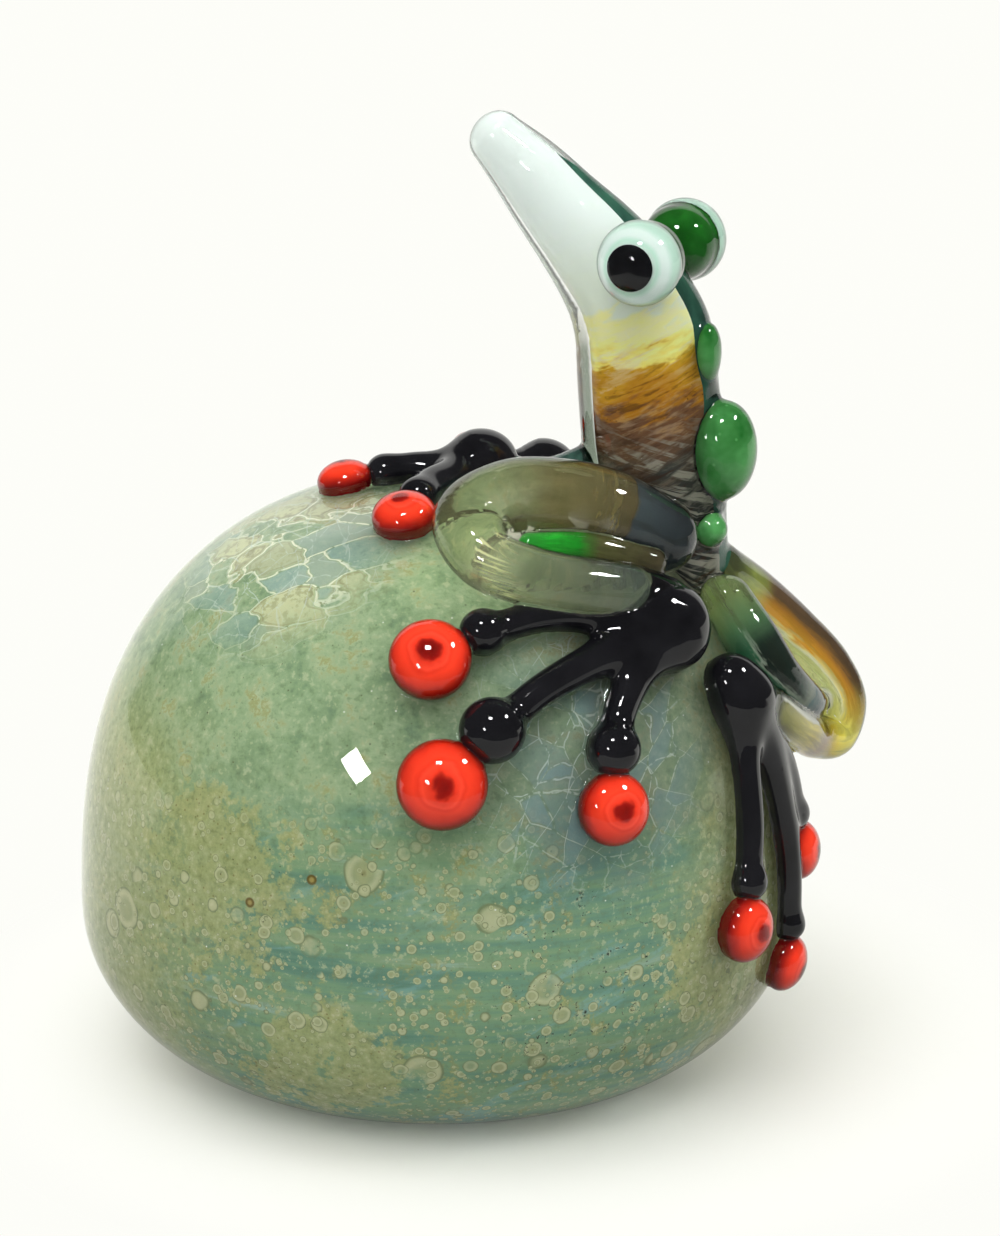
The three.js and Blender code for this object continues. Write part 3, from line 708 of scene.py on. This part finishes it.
    # Crackle veils: cream and blue grey flakes by the hand, fine pale cracks between the feet.
    by_hand, by_feet = g.ball((-19, -11, 75), 9, 21), g.ball((20, -34, 55), 9, 21)
    place = g.wavy(g.at((0.13, 0.17, 0.36), slant=(0, 14, 0)), 1.3, 0.9)
    edge = g.cracks(place)
    luck = g.luck(place)[0]
    kind = g.ramp(luck, [(0.3, (0.26, 0.42, 0.42)), (0.55, (0.4, 0.55, 0.57)), (0.76, (0.42, 0.48, 0.34)),
                         (0.8, (0.7, 0.72, 0.45))])
    flake = g.times(by_hand, g.step(luck, 0.36, 0.4), g.step(edge, 0.0, 0.08),
                    g.step(luck, 0.5, 0.8, 0.5, 0.9))
    base = g.mix(flake, base, kind)
    cream = g.times(by_hand, g.step(luck, 0.76, 0.8))
    base = g.mix(g.times(cream, g.step(fine, 0.5, 0.4), 0.6), base, (0.36, 0.36, 0.17))
    base = g.mix(g.times(cream, g.step(edge, 0.13, 0.1), g.step(edge, 0.06, 0.08), 0.5), base,
                 (0.2, 0.19, 0.09))
    crack = g.times(by_hand, g.step(edge, 0.032, 0.014), g.step(fine, 0.36, 0.46),
                    g.step(luck, 0.3, 0.75, 0.5, 1))
    base = g.mix(crack, base, (0.93, 0.94, 0.78))
    base = g.mix(g.times(by_feet, g.step(mid, 0.36, 0.6, 0.25, 0.55)), base, (0.17, 0.23, 0.2))
    for scale, slant, pale in (((0.12, 0.14, 0.3), (0, 58, 0), 0.85), ((0.1, 0.12, 0.24), (0, -38, 0), 0.6)):
        spot = g.wavy(g.at(scale, slant=slant), 0.5, 0.9)
        edge = g.cracks(spot)
        luck = g.luck(spot)[0]
        flake = g.times(by_feet, g.step(luck, 0.55, 0.6), g.step(edge, 0.0, 0.05),
                        g.step(luck, 0.6, 0.9, 0.2, 0.6))
        base = g.mix(flake, base, (0.24, 0.37, 0.4))
        place = g.most(by_feet, g.times(by_hand, 0.8))
        line = g.times(place, g.step(edge, 0.016, 0.006), g.step(fine, 0.4, 0.52), pale)
        base = g.mix(line, base, (0.66, 0.75, 0.69))

    # Thin dark threads and two amber bubbles.
    edge = g.cracks(g.wavy(g.at(0.3, shift=(5, 5, 5)), 0.8, 1.5))
    thread = g.times(g.ball((20, -42, 26), 10, 18), g.step(edge, 0.03, 0.012), g.step(grain, 0.5, 0.56),
                     g.step(fine, 0.5, 0.56))
    base = g.mix(thread, base, (0.03, 0.04, 0.03))
    for bubble in BUBBLES:
        base = g.mix(g.ball(bubble, 0.55, 0.8), base, (0.16, 0.11, 0.03))
        base = g.mix(g.ball(bubble, 0.2, 0.5), base, (0.42, 0.32, 0.1))

    # Painted shade under the frog and by the right foot.
    painted_shade_under_frog = g.most(g.ball((27, -13, 73), 8, 24), g.times(g.ball((36, -26, 54), 4, 18), 0.45))
    painted_shade_tone = g.mix(g.step(fine, 0.35, 0.65), (0.08, 0.085, 0.06), (0.15, 0.15, 0.1))
    base = g.mix(g.times(painted_shade_under_frog, 0.75), base, painted_shade_tone)
    # Painted shade: darker towards the bottom, the shade of the pebble's underside.
    base = g.mix(g.times(g.step(g.plus(z, g.times(mid, 4.0)), 6.5, 2.5), 0.55), base, (0.06, 0.08, 0.05))
    height = g.plus(g.times(fine, 0.6), g.times(grain, 0.3))
    rough = g.step(grain, 0.3, 0.7, 0.55, 0.8)
    return g.done(g.body(base, rough, g.bump(height, 0.5, 0.25), Specular_IOR_Level=0.0))


def drawn_body():
    g = Glaze("opal_cane_core")
    x, z = g.axis("X"), g.axis("Z")
    sway = g.noise(g.wavy(g.at((0.12, 0.12, 0.3)), 0.6), 3.0, 0.6)
    swirl = g.noise(g.wavy(g.at((0.12, 0.12, 0.5), slant=(0, 34, 0)), 1.0, 0.7), 4.0, 0.6)
    tilted = g.math("MULTIPLY_ADD", x, -0.26, 9.6)
    level = g.plus(g.plus(z, tilted), g.swing(sway, 8.0))
    level = g.plus(level, g.swing(swirl, 14.0))
    linear = g.node("MapRange", {"Value": level, "From Min": 80.0, "From Max": 125.0}).outputs[0]
    colour = g.ramp(linear, [
        (0.0, (0.03, 0.035, 0.03)), (0.14, (0.05, 0.052, 0.045)), (0.22, (0.11, 0.07, 0.045)),
        (0.35, (0.18, 0.085, 0.04)),
        (0.39, (0.48, 0.2, 0.015)), (0.5, (0.7, 0.4, 0.03)), (0.53, (1.0, 0.86, 0.2)),
        (0.58, (1.0, 1.0, 0.36)), (0.64, (1.0, 1.0, 0.5)),
        (0.69, (0.88, 0.98, 0.84)), (1.0, (0.9, 0.985, 0.95)),
    ])
    brush = g.noise(g.wavy(g.at((0.2, 0.2, 1.0), slant=(0, 30, 0)), 1.3, 0.5), 5.0, 0.62)
    lift = g.times(g.step(brush, 0.5, 0.62), g.step(level, 116, 104), g.step(level, 88, 98, 0.25, 0.6))
    stroke = g.ramp(linear, [(0.1, (0.32, 0.3, 0.24)), (0.3, (0.42, 0.3, 0.2)), (0.42, (0.62, 0.36, 0.08)),
                             (0.6, (0.98, 0.97, 0.7))])
    colour = g.mix(lift, colour, stroke)
    dark = g.times(g.step(brush, 0.47, 0.38), g.step(level, 106, 98), 0.6)
    colour = g.mix(dark, colour, (0.05, 0.022, 0.01))
    hair = g.noise(g.wavy(g.at((0.1, 0.1, 1.2), slant=(0, -16, 0)), 2.2, 0.25), 3.0, 0.6)
    silver = g.times(g.step(hair, 0.49, 0.58), g.step(level, 97, 89), g.step(swirl, 0.36, 0.5), 0.8)
    colour = g.mix(silver, colour, (0.36, 0.35, 0.28))
    fibre = g.noise(g.at((1.1, 1.1, 0.12), slant=(0, 35, 0)), 3.0, 0.6)
    white = g.times(g.step(fibre, 0.58, 0.68), g.step(level, 104, 112), 0.5)
    colour = g.mix(white, colour, (0.95, 1.0, 0.99))
    pit = g.times(g.step(g.cells(g.at(1.1)), 0.16, 0.08), g.step(level, 93, 97), g.step(level, 103, 99),
                  g.step(sway, 0.42, 0.6))
    colour = g.mix(g.times(pit, 0.8), colour, (0.03, 0.015, 0.005))
    rough = g.step(brush, 0.3, 0.7, 0.45, 0.7)
    return g.done(g.body(colour, rough, g.bump(brush, 0.3, 0.15), Specular_IOR_Level=0.0))


def coloured(name, dark, light, scale, rough=0.5, spread=0.1, streaks=(1, 1, 1), speckle=None, shine=0.0):
    """Opaque glass of one colour with its own cloudiness."""
    g = Glaze(name)
    cloud = g.noise(g.wavy(g.at(tuple(scale * s for s in streaks)), 0.4), 3.0, 0.55)
    colour = g.ramp(cloud, [(0.3, dark), (0.7, light)])
    if speckle:
        dots = g.step(g.cells(g.at(scale * 4)), 0.16, 0.08)
        colour = g.mix(g.times(dots, 0.5), colour, speckle)
    finish = g.step(cloud, 0.3, 0.7, rough - spread, rough + spread)
    return g.done(g.body(colour, finish, g.bump(cloud, 0.15, 0.15), Specular_IOR_Level=shine))


def ringed_opal():
    g = Glaze("opal_iris_glass")
    cloud = g.noise(g.wavy(g.at(0.4), 0.4), 3.0, 0.55)
    ring = g.plus(g.mark("ring"), g.swing(cloud, 0.1))
    colour = g.ramp(ring, [
        (0.5, (0.84, 1.0, 0.92)), (0.62, (0.64, 0.93, 0.78)), (0.72, (0.86, 1.0, 0.94)),
        (0.84, (0.86, 1.0, 0.94)),
        (0.93, (0.6, 0.84, 0.71)), (1.0, (0.54, 0.76, 0.64)),
    ])
    return g.done(g.body(colour, g.step(cloud, 0.3, 0.7, 0.35, 0.5), g.bump(cloud, 0.1, 0.15),
                         Specular_IOR_Level=0.0))


def red_tip():
    g = Glaze("red_tip_glass")
    apex = g.mark("apex")
    cloud = g.noise(g.wavy(g.at(0.35), 0.8), 2.0, 0.5)
    wave = g.plus(apex, g.swing(cloud, 0.26))
    # Painted shade and reflections: the tip darkens to its foot as painted shade, and the rings and the dark spot
    # at its top are painted reflections of the dim room.
    colour = g.ramp(wave, [
        (0.0, (0.16, 0.005, 0.004)), (0.2, (0.45, 0.016, 0.007)), (0.42, (0.84, 0.045, 0.016)),
        (0.66, (0.97, 0.07, 0.026)),
        (0.74, (0.9, 0.055, 0.022)), (0.8, (1.0, 0.09, 0.04)), (0.9, (0.86, 0.05, 0.02)),
        (0.95, (0.34, 0.01, 0.005)), (1.0, (0.24, 0.007, 0.004)),
    ])
    rough = g.step(cloud, 0.3, 0.7, 0.4, 0.6)
    return g.done(g.body(colour, rough, g.bump(cloud, 0.1, 0.2), Specular_IOR_Level=0.0))


def drawn_glass(name, tint, paints, covers, across=None, sway=0.12, grain=0.35, fibres=None, hatch=None,
                painted_pale_crescent=None):
    """Tinted clear glass with streaks of colour drawn along the cane. Stops go by the share of the length."""
    g = Glaze(name)
    run, flank = g.mark("run"), g.mark("flank")
    place = g.node("CombineXYZ", {"X": g.times(run, 5.0), "Y": g.times(flank, 2.2), "Z": 0.3}).outputs[0]
    brush = g.noise(g.wavy(place, 0.5), 5.0, 0.65)
    shift = g.math("SUBTRACT", brush, 0.5)
    along = g.plus(run, g.times(shift, sway))
    paint = g.ramp(along, paints)
    cover = g.ramp(along, [(share, (cover,) * 3) for share, cover in covers])
    if across:
        over = g.plus(g.math("MULTIPLY_ADD", flank, 0.5, 0.5), g.times(shift, 0.5))
        first, last, stops = across
        where = g.times(g.step(along, first, first + 0.12), g.step(along, last, last - 0.15))
        paint = g.mix(where, paint, g.ramp(over, [stop[:2] for stop in stops]))
        thick = g.ramp(over, [(stop[0], (stop[2],) * 3) for stop in stops])
        cover = g.mix(where, cover, thick)
    paint = g.mix(g.times(g.step(brush, 0.56, 0.4), grain), paint, (0.02, 0.02, 0.012))
    if fibres:
        first, last, colour = fibres
        spot = g.node("CombineXYZ", {"X": g.times(along, 70.0), "Y": g.times(flank, 0.9),
                                     "Z": 1.3}).outputs[0]
        threads = g.times(g.step(g.noise(g.wavy(spot, 0.6, 0.5), 3.0, 0.6), 0.48, 0.6),
                          g.step(along, first, first + 0.03), g.step(along, last, last - 0.2), 0.3)
        paint = g.mix(threads, paint, colour)
        cover = g.mix(threads, cover, (0.9, 0.9, 0.9))
    if hatch:
        first, last, colour = hatch
        skew = g.plus(run, g.times(flank, 0.04))
        spot = g.node("CombineXYZ", {"X": g.times(skew, 6.0), "Y": g.times(flank, 9.0), "Z": 4.1}).outputs[0]
        lines = g.times(g.step(g.noise(spot, 3.0, 0.6), 0.5, 0.6), 0.8,
                        g.step(skew, first, first + 0.012), g.step(skew, last, last - 0.09))
        paint = g.mix(lines, paint, colour)
        cover = g.mix(lines, cover, (0.95, 0.95, 0.95))
    if painted_pale_crescent:
        # Painted light: a pale crescent where the cane runs close to its calf, for the bright background seen
        # through the gap between them.
        lit = g.step(g.plus(g.mark("near"), g.times(shift, 0.3)), 0.42, 0.26)
        paint = g.mix(lit, paint, painted_pale_crescent)
        cover = g.mix(lit, cover, (0.97, 0.97, 0.97))
    normal = g.bump(brush, 0.2, 0.2)
    opaque = g.body(paint, g.step(brush, 0.3, 0.7, 0.4, 0.6), normal, Specular_IOR_Level=0.0)
    return g.done(g.blend(cover, g.glass(tint, normal, ior=1.0), opaque))


# Materials.
SKIN = clear_skin()
ROCK = mottled_rock()
CORE = drawn_body()
GREEN = coloured("green_bead_glass", (0.016, 0.14, 0.02), (0.12, 0.42, 0.13), 0.16,
                 speckle=(0.14, 0.46, 0.14))
DEEP_GREEN = coloured("deep_green_glass", (0.004, 0.065, 0.004), (0.018, 0.17, 0.018), 0.2)
STRIP = coloured("teal_back_strip", (0.02, 0.07, 0.05), (0.04, 0.14, 0.09), 0.3, streaks=(1, 1, 0.3))
TEAL = coloured("teal_crackle_glass", (0.02, 0.06, 0.05), (0.06, 0.14, 0.11), 0.5, speckle=(0.2, 0.3, 0.2))
OPAL = ringed_opal()
PUPIL = coloured("pupil_glass", (0.003, 0.003, 0.004), (0.008, 0.008, 0.01), 0.4, rough=0.35)
BLACK = coloured("black_glass", (0.003, 0.003, 0.004), (0.009, 0.009, 0.011), 0.15, rough=0.05, spread=0.02,
                 shine=0.5)
RED = red_tip()
LEFT_LEG = drawn_glass(
    "smoky_glass_left", (0.8, 0.8, 0.68),
    [(0.0, (0.025, 0.032, 0.035)), (0.115, (0.045, 0.06, 0.065)), (0.122, (0.1, 0.08, 0.035)),
     (0.3, (0.15, 0.13, 0.05)),
     (0.45, (0.24, 0.24, 0.12)), (0.62, (0.25, 0.26, 0.14)), (0.66, (0.28, 0.3, 0.18)),
     (1.0, (0.13, 0.17, 0.14))],
    [(0.115, 0.95), (0.122, 0.75), (0.28, 0.55), (0.42, 0.15), (0.6, 0.1), (0.64, 0.36), (0.7, 0.3),
     (0.75, 0.16), (1.0, 0.3)],
    sway=0.03, fibres=(0.12, 0.4, (0.24, 0.2, 0.08)), hatch=(0.635, 0.75, (0.8, 0.82, 0.46)),
)
RIGHT_LEG = drawn_glass(
    "amber_streak_right", (0.88, 0.9, 0.42),
    [(0.0, (0.06, 0.07, 0.03)), (0.12, (0.5, 0.6, 0.12)), (0.45, (0.8, 0.7, 0.08)), (0.58, (0.97, 0.94, 0.2)),
     (0.66, (0.85, 0.68, 0.05)), (0.74, (0.52, 0.26, 0.02)), (0.8, (0.8, 0.6, 0.06)),
     (0.88, (0.85, 0.74, 0.1)),
     (1.0, (0.3, 0.3, 0.08))],
    [(0.0, 0.9), (0.15, 0.5), (0.45, 0.7), (0.6, 0.8), (0.7, 0.92), (0.9, 0.92), (1.0, 0.95)],
    across=(0.06, 0.62, [(0.22, (0.3, 0.42, 0.14), 0.3), (0.42, (0.7, 0.76, 0.26), 0.6),
                         (0.51, (1.0, 1.0, 0.7), 0.97),
                         (0.57, (0.95, 0.8, 0.25), 0.95), (0.63, (0.78, 0.38, 0.03), 0.95),
                         (0.8, (0.5, 0.23, 0.03), 0.95),
                         (0.93, (0.1, 0.06, 0.03), 1.0)]),
    painted_pale_crescent=(1.0, 1.0, 0.88),
)
LEFT_WEDGE = drawn_glass(
    "green_fold_left", (0.7, 0.8, 0.6),
    [(0.0, (0.06, 0.05, 0.025)), (0.48, (0.1, 0.1, 0.035)), (0.64, (0.015, 0.24, 0.018)),
     (0.8, (0.02, 0.42, 0.03)),
     (1.0, (0.03, 0.4, 0.04))],
    [(0.0, 0.9), (1.0, 0.95)], sway=0.1, grain=0.3,
)
RIGHT_WEDGE = drawn_glass(
    "teal_fold_right", (0.72, 0.82, 0.62),
    [(0.0, (0.2, 0.26, 0.1)), (0.15, (0.09, 0.2, 0.09)), (0.45, (0.04, 0.11, 0.08)),
     (0.53, (0.24, 0.3, 0.22)),
     (0.57, (0.01, 0.1, 0.1)), (0.72, (0.003, 0.04, 0.05)), (0.86, (0.01, 0.11, 0.12)),
     # Painted light: the pale end of the wedge, for the bright background seen round its tip.
     (0.965, (0.85, 0.92, 0.88))],
    [(0.0, 0.6), (0.2, 0.85), (0.45, 0.97), (0.6, 0.98), (1.0, 0.99)], sway=0.1, grain=0.25,
    across=(0.12, 0.56, [(0.3, (0.03, 0.12, 0.06), 0.95), (0.5, (0.04, 0.14, 0.07), 0.95),
                         (0.55, (0.32, 0.4, 0.3), 0.97),
                         (0.6, (0.012, 0.022, 0.016), 1.0), (1.0, (0.015, 0.028, 0.02), 1.0)]),
)

# Shapes.
RUMP_AT = seen(*RUMP)
AHEAD = turned(np.array((-1.0, 0, 0)), UP, -HEADING)
LEFTWARD = np.cross(UP, AHEAD)


def on_frog(forward, up, aside=0):
    return RUMP_AT + AHEAD * forward + UP * up + LEFTWARD * aside


def set_back(up):
    """How far the core lies behind the middle of the neck, where the clear glass is thick at the throat."""
    return 0.8 * min(max((51 - up) / 15, 0), 1)


def body_shape(share, soft=2.5, back=0):
    at = [on_frog(f - back * set_back(u), u) for f, u, _, _ in BODY]
    wide = [w * share for _, _, w, _ in BODY]
    deep = [d * share for _, _, _, d in BODY]
    return Cane(at, wide, deep, across=LEFTWARD, soft=soft, even=3.0 * share)


def strip_shape():
    """The green layer down the back, standing a little out of the core."""
    at = []
    proud = STRIP_PROUD - STRIP_THICKNESS
    for number in range(1, len(BODY) - 1):
        before, after = on_frog(*BODY[number - 1][:2]), on_frog(*BODY[number + 1][:2])
        back = unit(np.cross(after - before, LEFTWARD))
        forward, up, wide, deep = BODY[number]
        aside = LEFTWARD * deep * BODY_FILL * STRIP_ASIDE
        at.append(on_frog(forward, up) + aside + back * (wide * BODY_FILL + set_back(up) + proud))
    spread = [s[3] * BODY_FILL * share for s, share in zip(BODY[1:-1], STRIP_SHARES)]
    return Cane(at, [STRIP_THICKNESS] * (len(at) - 2) + [1, 0.6], spread, across=LEFTWARD)


body = body_shape(1)
body_inner = body_shape(BODY_FILL, back=1)
beads = [Bead(on_frog(f, u, a), UP, l, w, d, across=AHEAD, soft=2.0) for _, f, u, a, l, w, d in BEADS]
skin_shapes = [body, *beads]
eyes = {}
for side, way in (("left", 1), ("right", -1)):
    middle, outward = on_frog(EYE[0], EYE[1], EYE[2] * way), LEFTWARD * way
    eyes[side] = [Bead(middle + outward * off, outward, thick, radius, radius, soft=soft)
                  for off, thick, radius, soft in EYE_PARTS]
    skin_shapes += [eyes[side][0], eyes[side][-1]]
legs, calves = {}, {}
for side, leg in LEGS.items():
    at, radii = [seen(*s[:3]) for s in leg["cane"]], [s[3] for s in leg["cane"]]
    legs[side] = Cane(at[1:], radii[1:], soft=1.5), Cane(at[1:-1], [r * CORE_SHARE for r in radii[1:-1]],
                                                         soft=1.5)
    calves[side] = Cane([seen(*s[:3]) for s in leg["calf"]], [s[3] for s in leg["calf"]], soft=0.8)
    skin_shapes += [legs[side][0], calves[side]]
limbs, arms = {}, {}
for name, limb in LIMBS.items():
    _, radius, fan, start, end = limb["pad"]
    ends = []
    for reach in (start, end):
        at = trail(limb, fan, reach)[-1] if reach else seen(*limb["root"])
        ends.append(lifted(at, radius / 2))
    black, red = [Cane(ends, [radius, radius], soft=WEB)], []
    if "elbow" in limb:
        sign = -1 if name.startswith("right") else 1
        first = on_frog(SHOULDER[0], SHOULDER[1], SHOULDER[2] * sign)
        arms[name.split("_")[0]] = Cane([first, on_frog(*limb["elbow"]), ends[0]], ARM, soft=1.2)
    for number, (fan, reach, sweep, bulb, tip) in enumerate(limb["digits"], 1):
        path, thin = trail(limb, fan, reach, sweep), limb["digit"][1]
        last = 1 - (tip + 0.75 * bulb) / reach
        shares = [0.12 * last, 0.36 * last, 0.72 * last, last]
        places = curve(path, shares)[0]
        more = STOUT.get(f"{name}_{number}", 0)
        sizes = [thin + 1.4 + more, thin + 0.35 + more, thin + 0.25, thin * 1.1]
        toe = [Cane([lifted(p, r / 2) for p, r in zip(places, sizes)], sizes, soft=1)]
        toe.append(Bead(lifted(places[-1], bulb / 2), UP, bulb, bulb, bulb, across=AHEAD, soft=2.0))
        black.append(Joined(toe, soft=WEB))
        stand = STANDS.get(f"{name}_{number}", STAND)
        red.append(Bead(lifted(path[-1], tip * stand), rock_normal(path[-1]), tip * TIP_FLATNESS, tip, tip,
                        soft=0.7))
    black = Joined(black, soft=DIGIT_SOFTNESS)
    limbs[name] = black, red
    skin_shapes += [black, *red]
skin_shapes += list(arms.values())


def along(cane, flank, beside=None):
    """Marks a cane's points with their share of its length, how far they face a flank and how near a shape is."""
    def marks(points, normals):
        index = cane.nearest(points)
        off = ((points - cane.at[index]) * cane.along[index]).sum(1)
        ahead = np.where(off > 0, np.minimum(index + 1, len(cane.run) - 1), np.maximum(index - 1, 0))
        far = np.maximum(np.linalg.norm(cane.at[ahead] - cane.at[index], axis=1), 1e-6)
        run = cane.run[index] + (cane.run[ahead] - cane.run[index]) * np.clip(np.abs(off) / far, 0, 1)
        near = np.clip(beside(points) / 3, 0, 1) if beside else np.ones(len(points))
        return {"run": run, "flank": normals @ np.array(flank, float), "near": near}
    return marks


low, high = (np.array(corner) / MM for corner in cad_box)
skin_nodes = ["rock_casing", "body_casing"]
skin_nodes += [f"{side}_{part}" for side in ("left", "right") for part in ("leg_casing", "eye_lens")]


def skin_marks(points, normals):
    """Where the skin stands off the pebble, and where it is the neck's: they place the skin's painted shade."""
    bottom, top = 78, 110
    neck = np.clip((points[:, 2] - bottom) / 4, 0, 1) * np.clip((top - points[:, 2]) / 8, 0, 1)
    return {"cane": np.clip((rock(points) - 1) / 3, 0, 1), "throat": neck * (np.abs(body(points)) < 0.3)}


# Pieces.
piece("clear_skin", Joined(skin_shapes, base=rock), SKIN, skin_nodes, low, high, step=0.62,
      marks=skin_marks)
piece("frit_core", Joined([], base=rock, inset=ROCK_WALL), ROCK, ["rock_core"], low,
      high * (1, 1, 0.63), step=1.0)
piece("cane_core", Joined([body_inner], inset=0, less=beads), CORE, ["body_core"], step=0.35)
piece("back_strip", Joined([strip_shape()], less=beads), STRIP, ["back_layer"], step=0.3)
for (name, *_), bead in zip(BEADS, beads):
    piece(name.replace("back_bead", "bead"), Joined([bead], inset=INSET), GREEN, [name],
          step=0.3)
for side, (ball, iris, pupil, lens) in eyes.items():
    piece(f"{side}_ball", Joined([ball], inset=INSET), DEEP_GREEN, [f"{side}_eye_ball"],
          step=0.35)
    rings = lambda points, normals, iris=iris: {
        "ring": np.linalg.norm(np.cross(points - iris.at, iris.axis), axis=1) / iris.sizes[0]}
    piece(f"{side}_iris", Joined([iris], less=[ball, pupil], clear=0.05), OPAL,
          [f"{side}_eye_iris"], step=0.17, marks=rings)
    piece(f"{side}_pupil", Joined([pupil]), PUPIL, [f"{side}_eye_pupil"], step=0.2)
for side, (_, inner) in legs.items():
    looks = (LEFT_LEG, LEFT_WEDGE, (0, 0, 1)), (RIGHT_LEG, RIGHT_WEDGE, (0.8, 0, 0.6))
    streaks, wedge, flank = looks[side == "right"]
    piece(f"{side}_streaks", Joined([inner], less=[body_inner]), streaks,
          [f"{side}_leg_core"], step=0.35, marks=along(inner, flank, calves[side]))
    calf = calves[side]
    piece(f"{side}_wedge", Joined([calf], inset=INSET, less=[legs[side][0]]), wedge,
          [f"{side}_calf"], step=0.25, marks=along(calf, flank))
for side, arm in arms.items():
    piece(f"{side}_arm_cane", Joined([arm], inset=INSET, less=[body]), TEAL, [f"{side}_arm"],
          step=0.35)
for name, (black, red) in limbs.items():
    side = name.split("_")[0]
    limb = LIMBS[name]
    word = limb["digit"][0]
    nodes = [f"{name}_{limb['pad'][0]}"] + [f"{name}_{word}_{k}" for k in (1, 2, 3)]
    less = red + [body] + [legs[s][0] for s in legs]
    piece(f"{name}_{word}s", Joined([black], inset=-PROUD, less=less), BLACK, nodes, step=0.4)
    for number, ball in enumerate(red, 1):
        outward = lambda points, normals, ball=ball: {"apex": np.clip(unit(points - ball.at) @ ball.axis, 0,
                                                                      1)}
        piece(f"{name}_berry_{number}", Joined([ball], inset=INSET), RED,
              [f"{name}_tip_{number}"],
              step=0.4, marks=outward)

# Camera.
EYE_POINT, LOOKED_AT, LENS = (0.0085, -0.43034, 0.19457), (0.0085, 0, 0.063), 95.67
scene = bpy.context.scene
scene.view_settings.view_transform = "Standard"
camera = bpy.data.objects.new("camera", bpy.data.cameras.new("camera"))
scene.collection.objects.link(camera)
camera.location = EYE_POINT
camera.rotation_euler = (Vector(LOOKED_AT) - camera.location).to_track_quat("-Z", "Y").to_euler()
camera.data.lens = LENS
scene.camera = camera


def lamp(name, azimuth, elevation, far, wide, high, bright, turn=0, seen_as_gloss=True):
    """A soft lamp aimed at the object. Bright is what it shows in a mirror."""
    data = bpy.data.lights.new(name, "AREA")
    data.shape, data.size, data.size_y = "RECTANGLE", wide, high
    data.energy = bright * wide * high * math.pi
    made = bpy.data.objects.new(name, data)
    scene.collection.objects.link(made)
    a, e = math.radians(azimuth), math.radians(elevation)
    toward = Vector((math.sin(a) * math.cos(e), -math.cos(a) * math.cos(e), math.sin(e)))
    made.location = Vector((0, 0, 0.06)) + toward * far
    made.rotation_euler = toward.to_track_quat("Z", "Y").to_euler()
    made.rotation_euler.rotate_axis("Z", math.radians(turn))
    made.visible_camera = False
    if seen_as_gloss:
        made.visible_diffuse = False
    else:
        made.visible_glossy = made.visible_transmission = False
    return made


lamp("soft_overhead", -26, 54, 1.4, 1.6, 1.6, 1.5, seen_as_gloss=False)
lamp("window", -27, 20, 1.0, 0.09, 0.15, 40, turn=44)
lamp("ceiling_left", -10, 59, 1.0, 0.16, 0.12, 110)
lamp("ceiling_right", 80, 47, 1.0, 0.16, 0.12, 110)


def studio():
    """A white room that is dim behind the camera."""
    world = bpy.data.worlds.new("studio")
    scene.world = world
    world.use_nodes = True
    tree = world.node_tree
    g = Glaze.__new__(Glaze)
    g.tree, g.spot = tree, None
    tree.nodes.clear()
    out = tree.nodes.new("ShaderNodeOutputWorld")
    parts = g.node("SeparateXYZ", {"Vector": g.node("TexCoord").outputs["Generated"]})
    front = g.step(parts.outputs["Y"], 0.72, 0.6)
    path = g.node("LightPath")
    room = g.mix(front, (0.95, 0.95, 0.92), (0.09, 0.09, 0.09))
    mirror = g.most(path.outputs["Is Glossy Ray"], path.outputs["Is Transmission Ray"])
    mirror = g.times(mirror, g.math("LESS_THAN", path.outputs["Diffuse Depth"], 0.5))
    soft = g.mix(mirror, (1.05, 1.05, 1.03), room)
    shown = g.mix(path.outputs["Is Camera Ray"], soft, (0.985, 0.985, 0.94))
    light = g.node("Background", {"Color": shown, "Strength": 1.0})
    tree.links.new(light.outputs[0], out.inputs["Surface"])


def floor():
    mesh = bpy.data.meshes.new("floor")
    half = 4.0
    corners = [(-half, -half, 0), (half, -half, 0), (half, half, 0), (-half, half, 0)]
    mesh.from_pydata(corners, [], [(0, 1, 2, 3)])
    made = bpy.data.objects.new("floor", mesh)
    scene.collection.objects.link(made)
    g = Glaze("floor_paper")
    grain = g.noise(g.at(0.6), 3.0)
    x, y = g.axis("X"), g.axis("Y")
    pale = g.mix(g.times(grain, 0.15), (0.87, 0.87, 0.83), (0.82, 0.82, 0.78))
    paper = g.body(pale, 0.9, g.bump(grain, 0.05, 0.1), Specular_IOR_Level=0.0)
    far = g.node("VectorMath", {0: g.at(), 1: (10, 10, 0)}, operation="DISTANCE").outputs["Value"]
    path = g.node("LightPath")
    white = g.node("Emission", {"Color": (0.985, 0.985, 0.94), "Strength": 1.0}).outputs[0]
    away = g.times(g.step(far, 48, 84), path.outputs["Is Camera Ray"])
    edge = g.plus(y, g.times(x, -0.4))
    beyond = g.step(edge, -235, -265)
    beyond = g.most(beyond, g.step(g.math("ABSOLUTE", x), 210, 240))
    ahead = g.step(y, 60, -40)
    room = g.node("Emission", {"Color": (0.1, 0.1, 0.1), "Strength": 1.0}).outputs[0]
    seen_gloss = g.times(g.most(beyond, 0.6), ahead, path.outputs["Is Glossy Ray"])
    mesh.materials.append(g.done(g.blend(seen_gloss, g.blend(away, paper, white), room)))


studio()
floor()
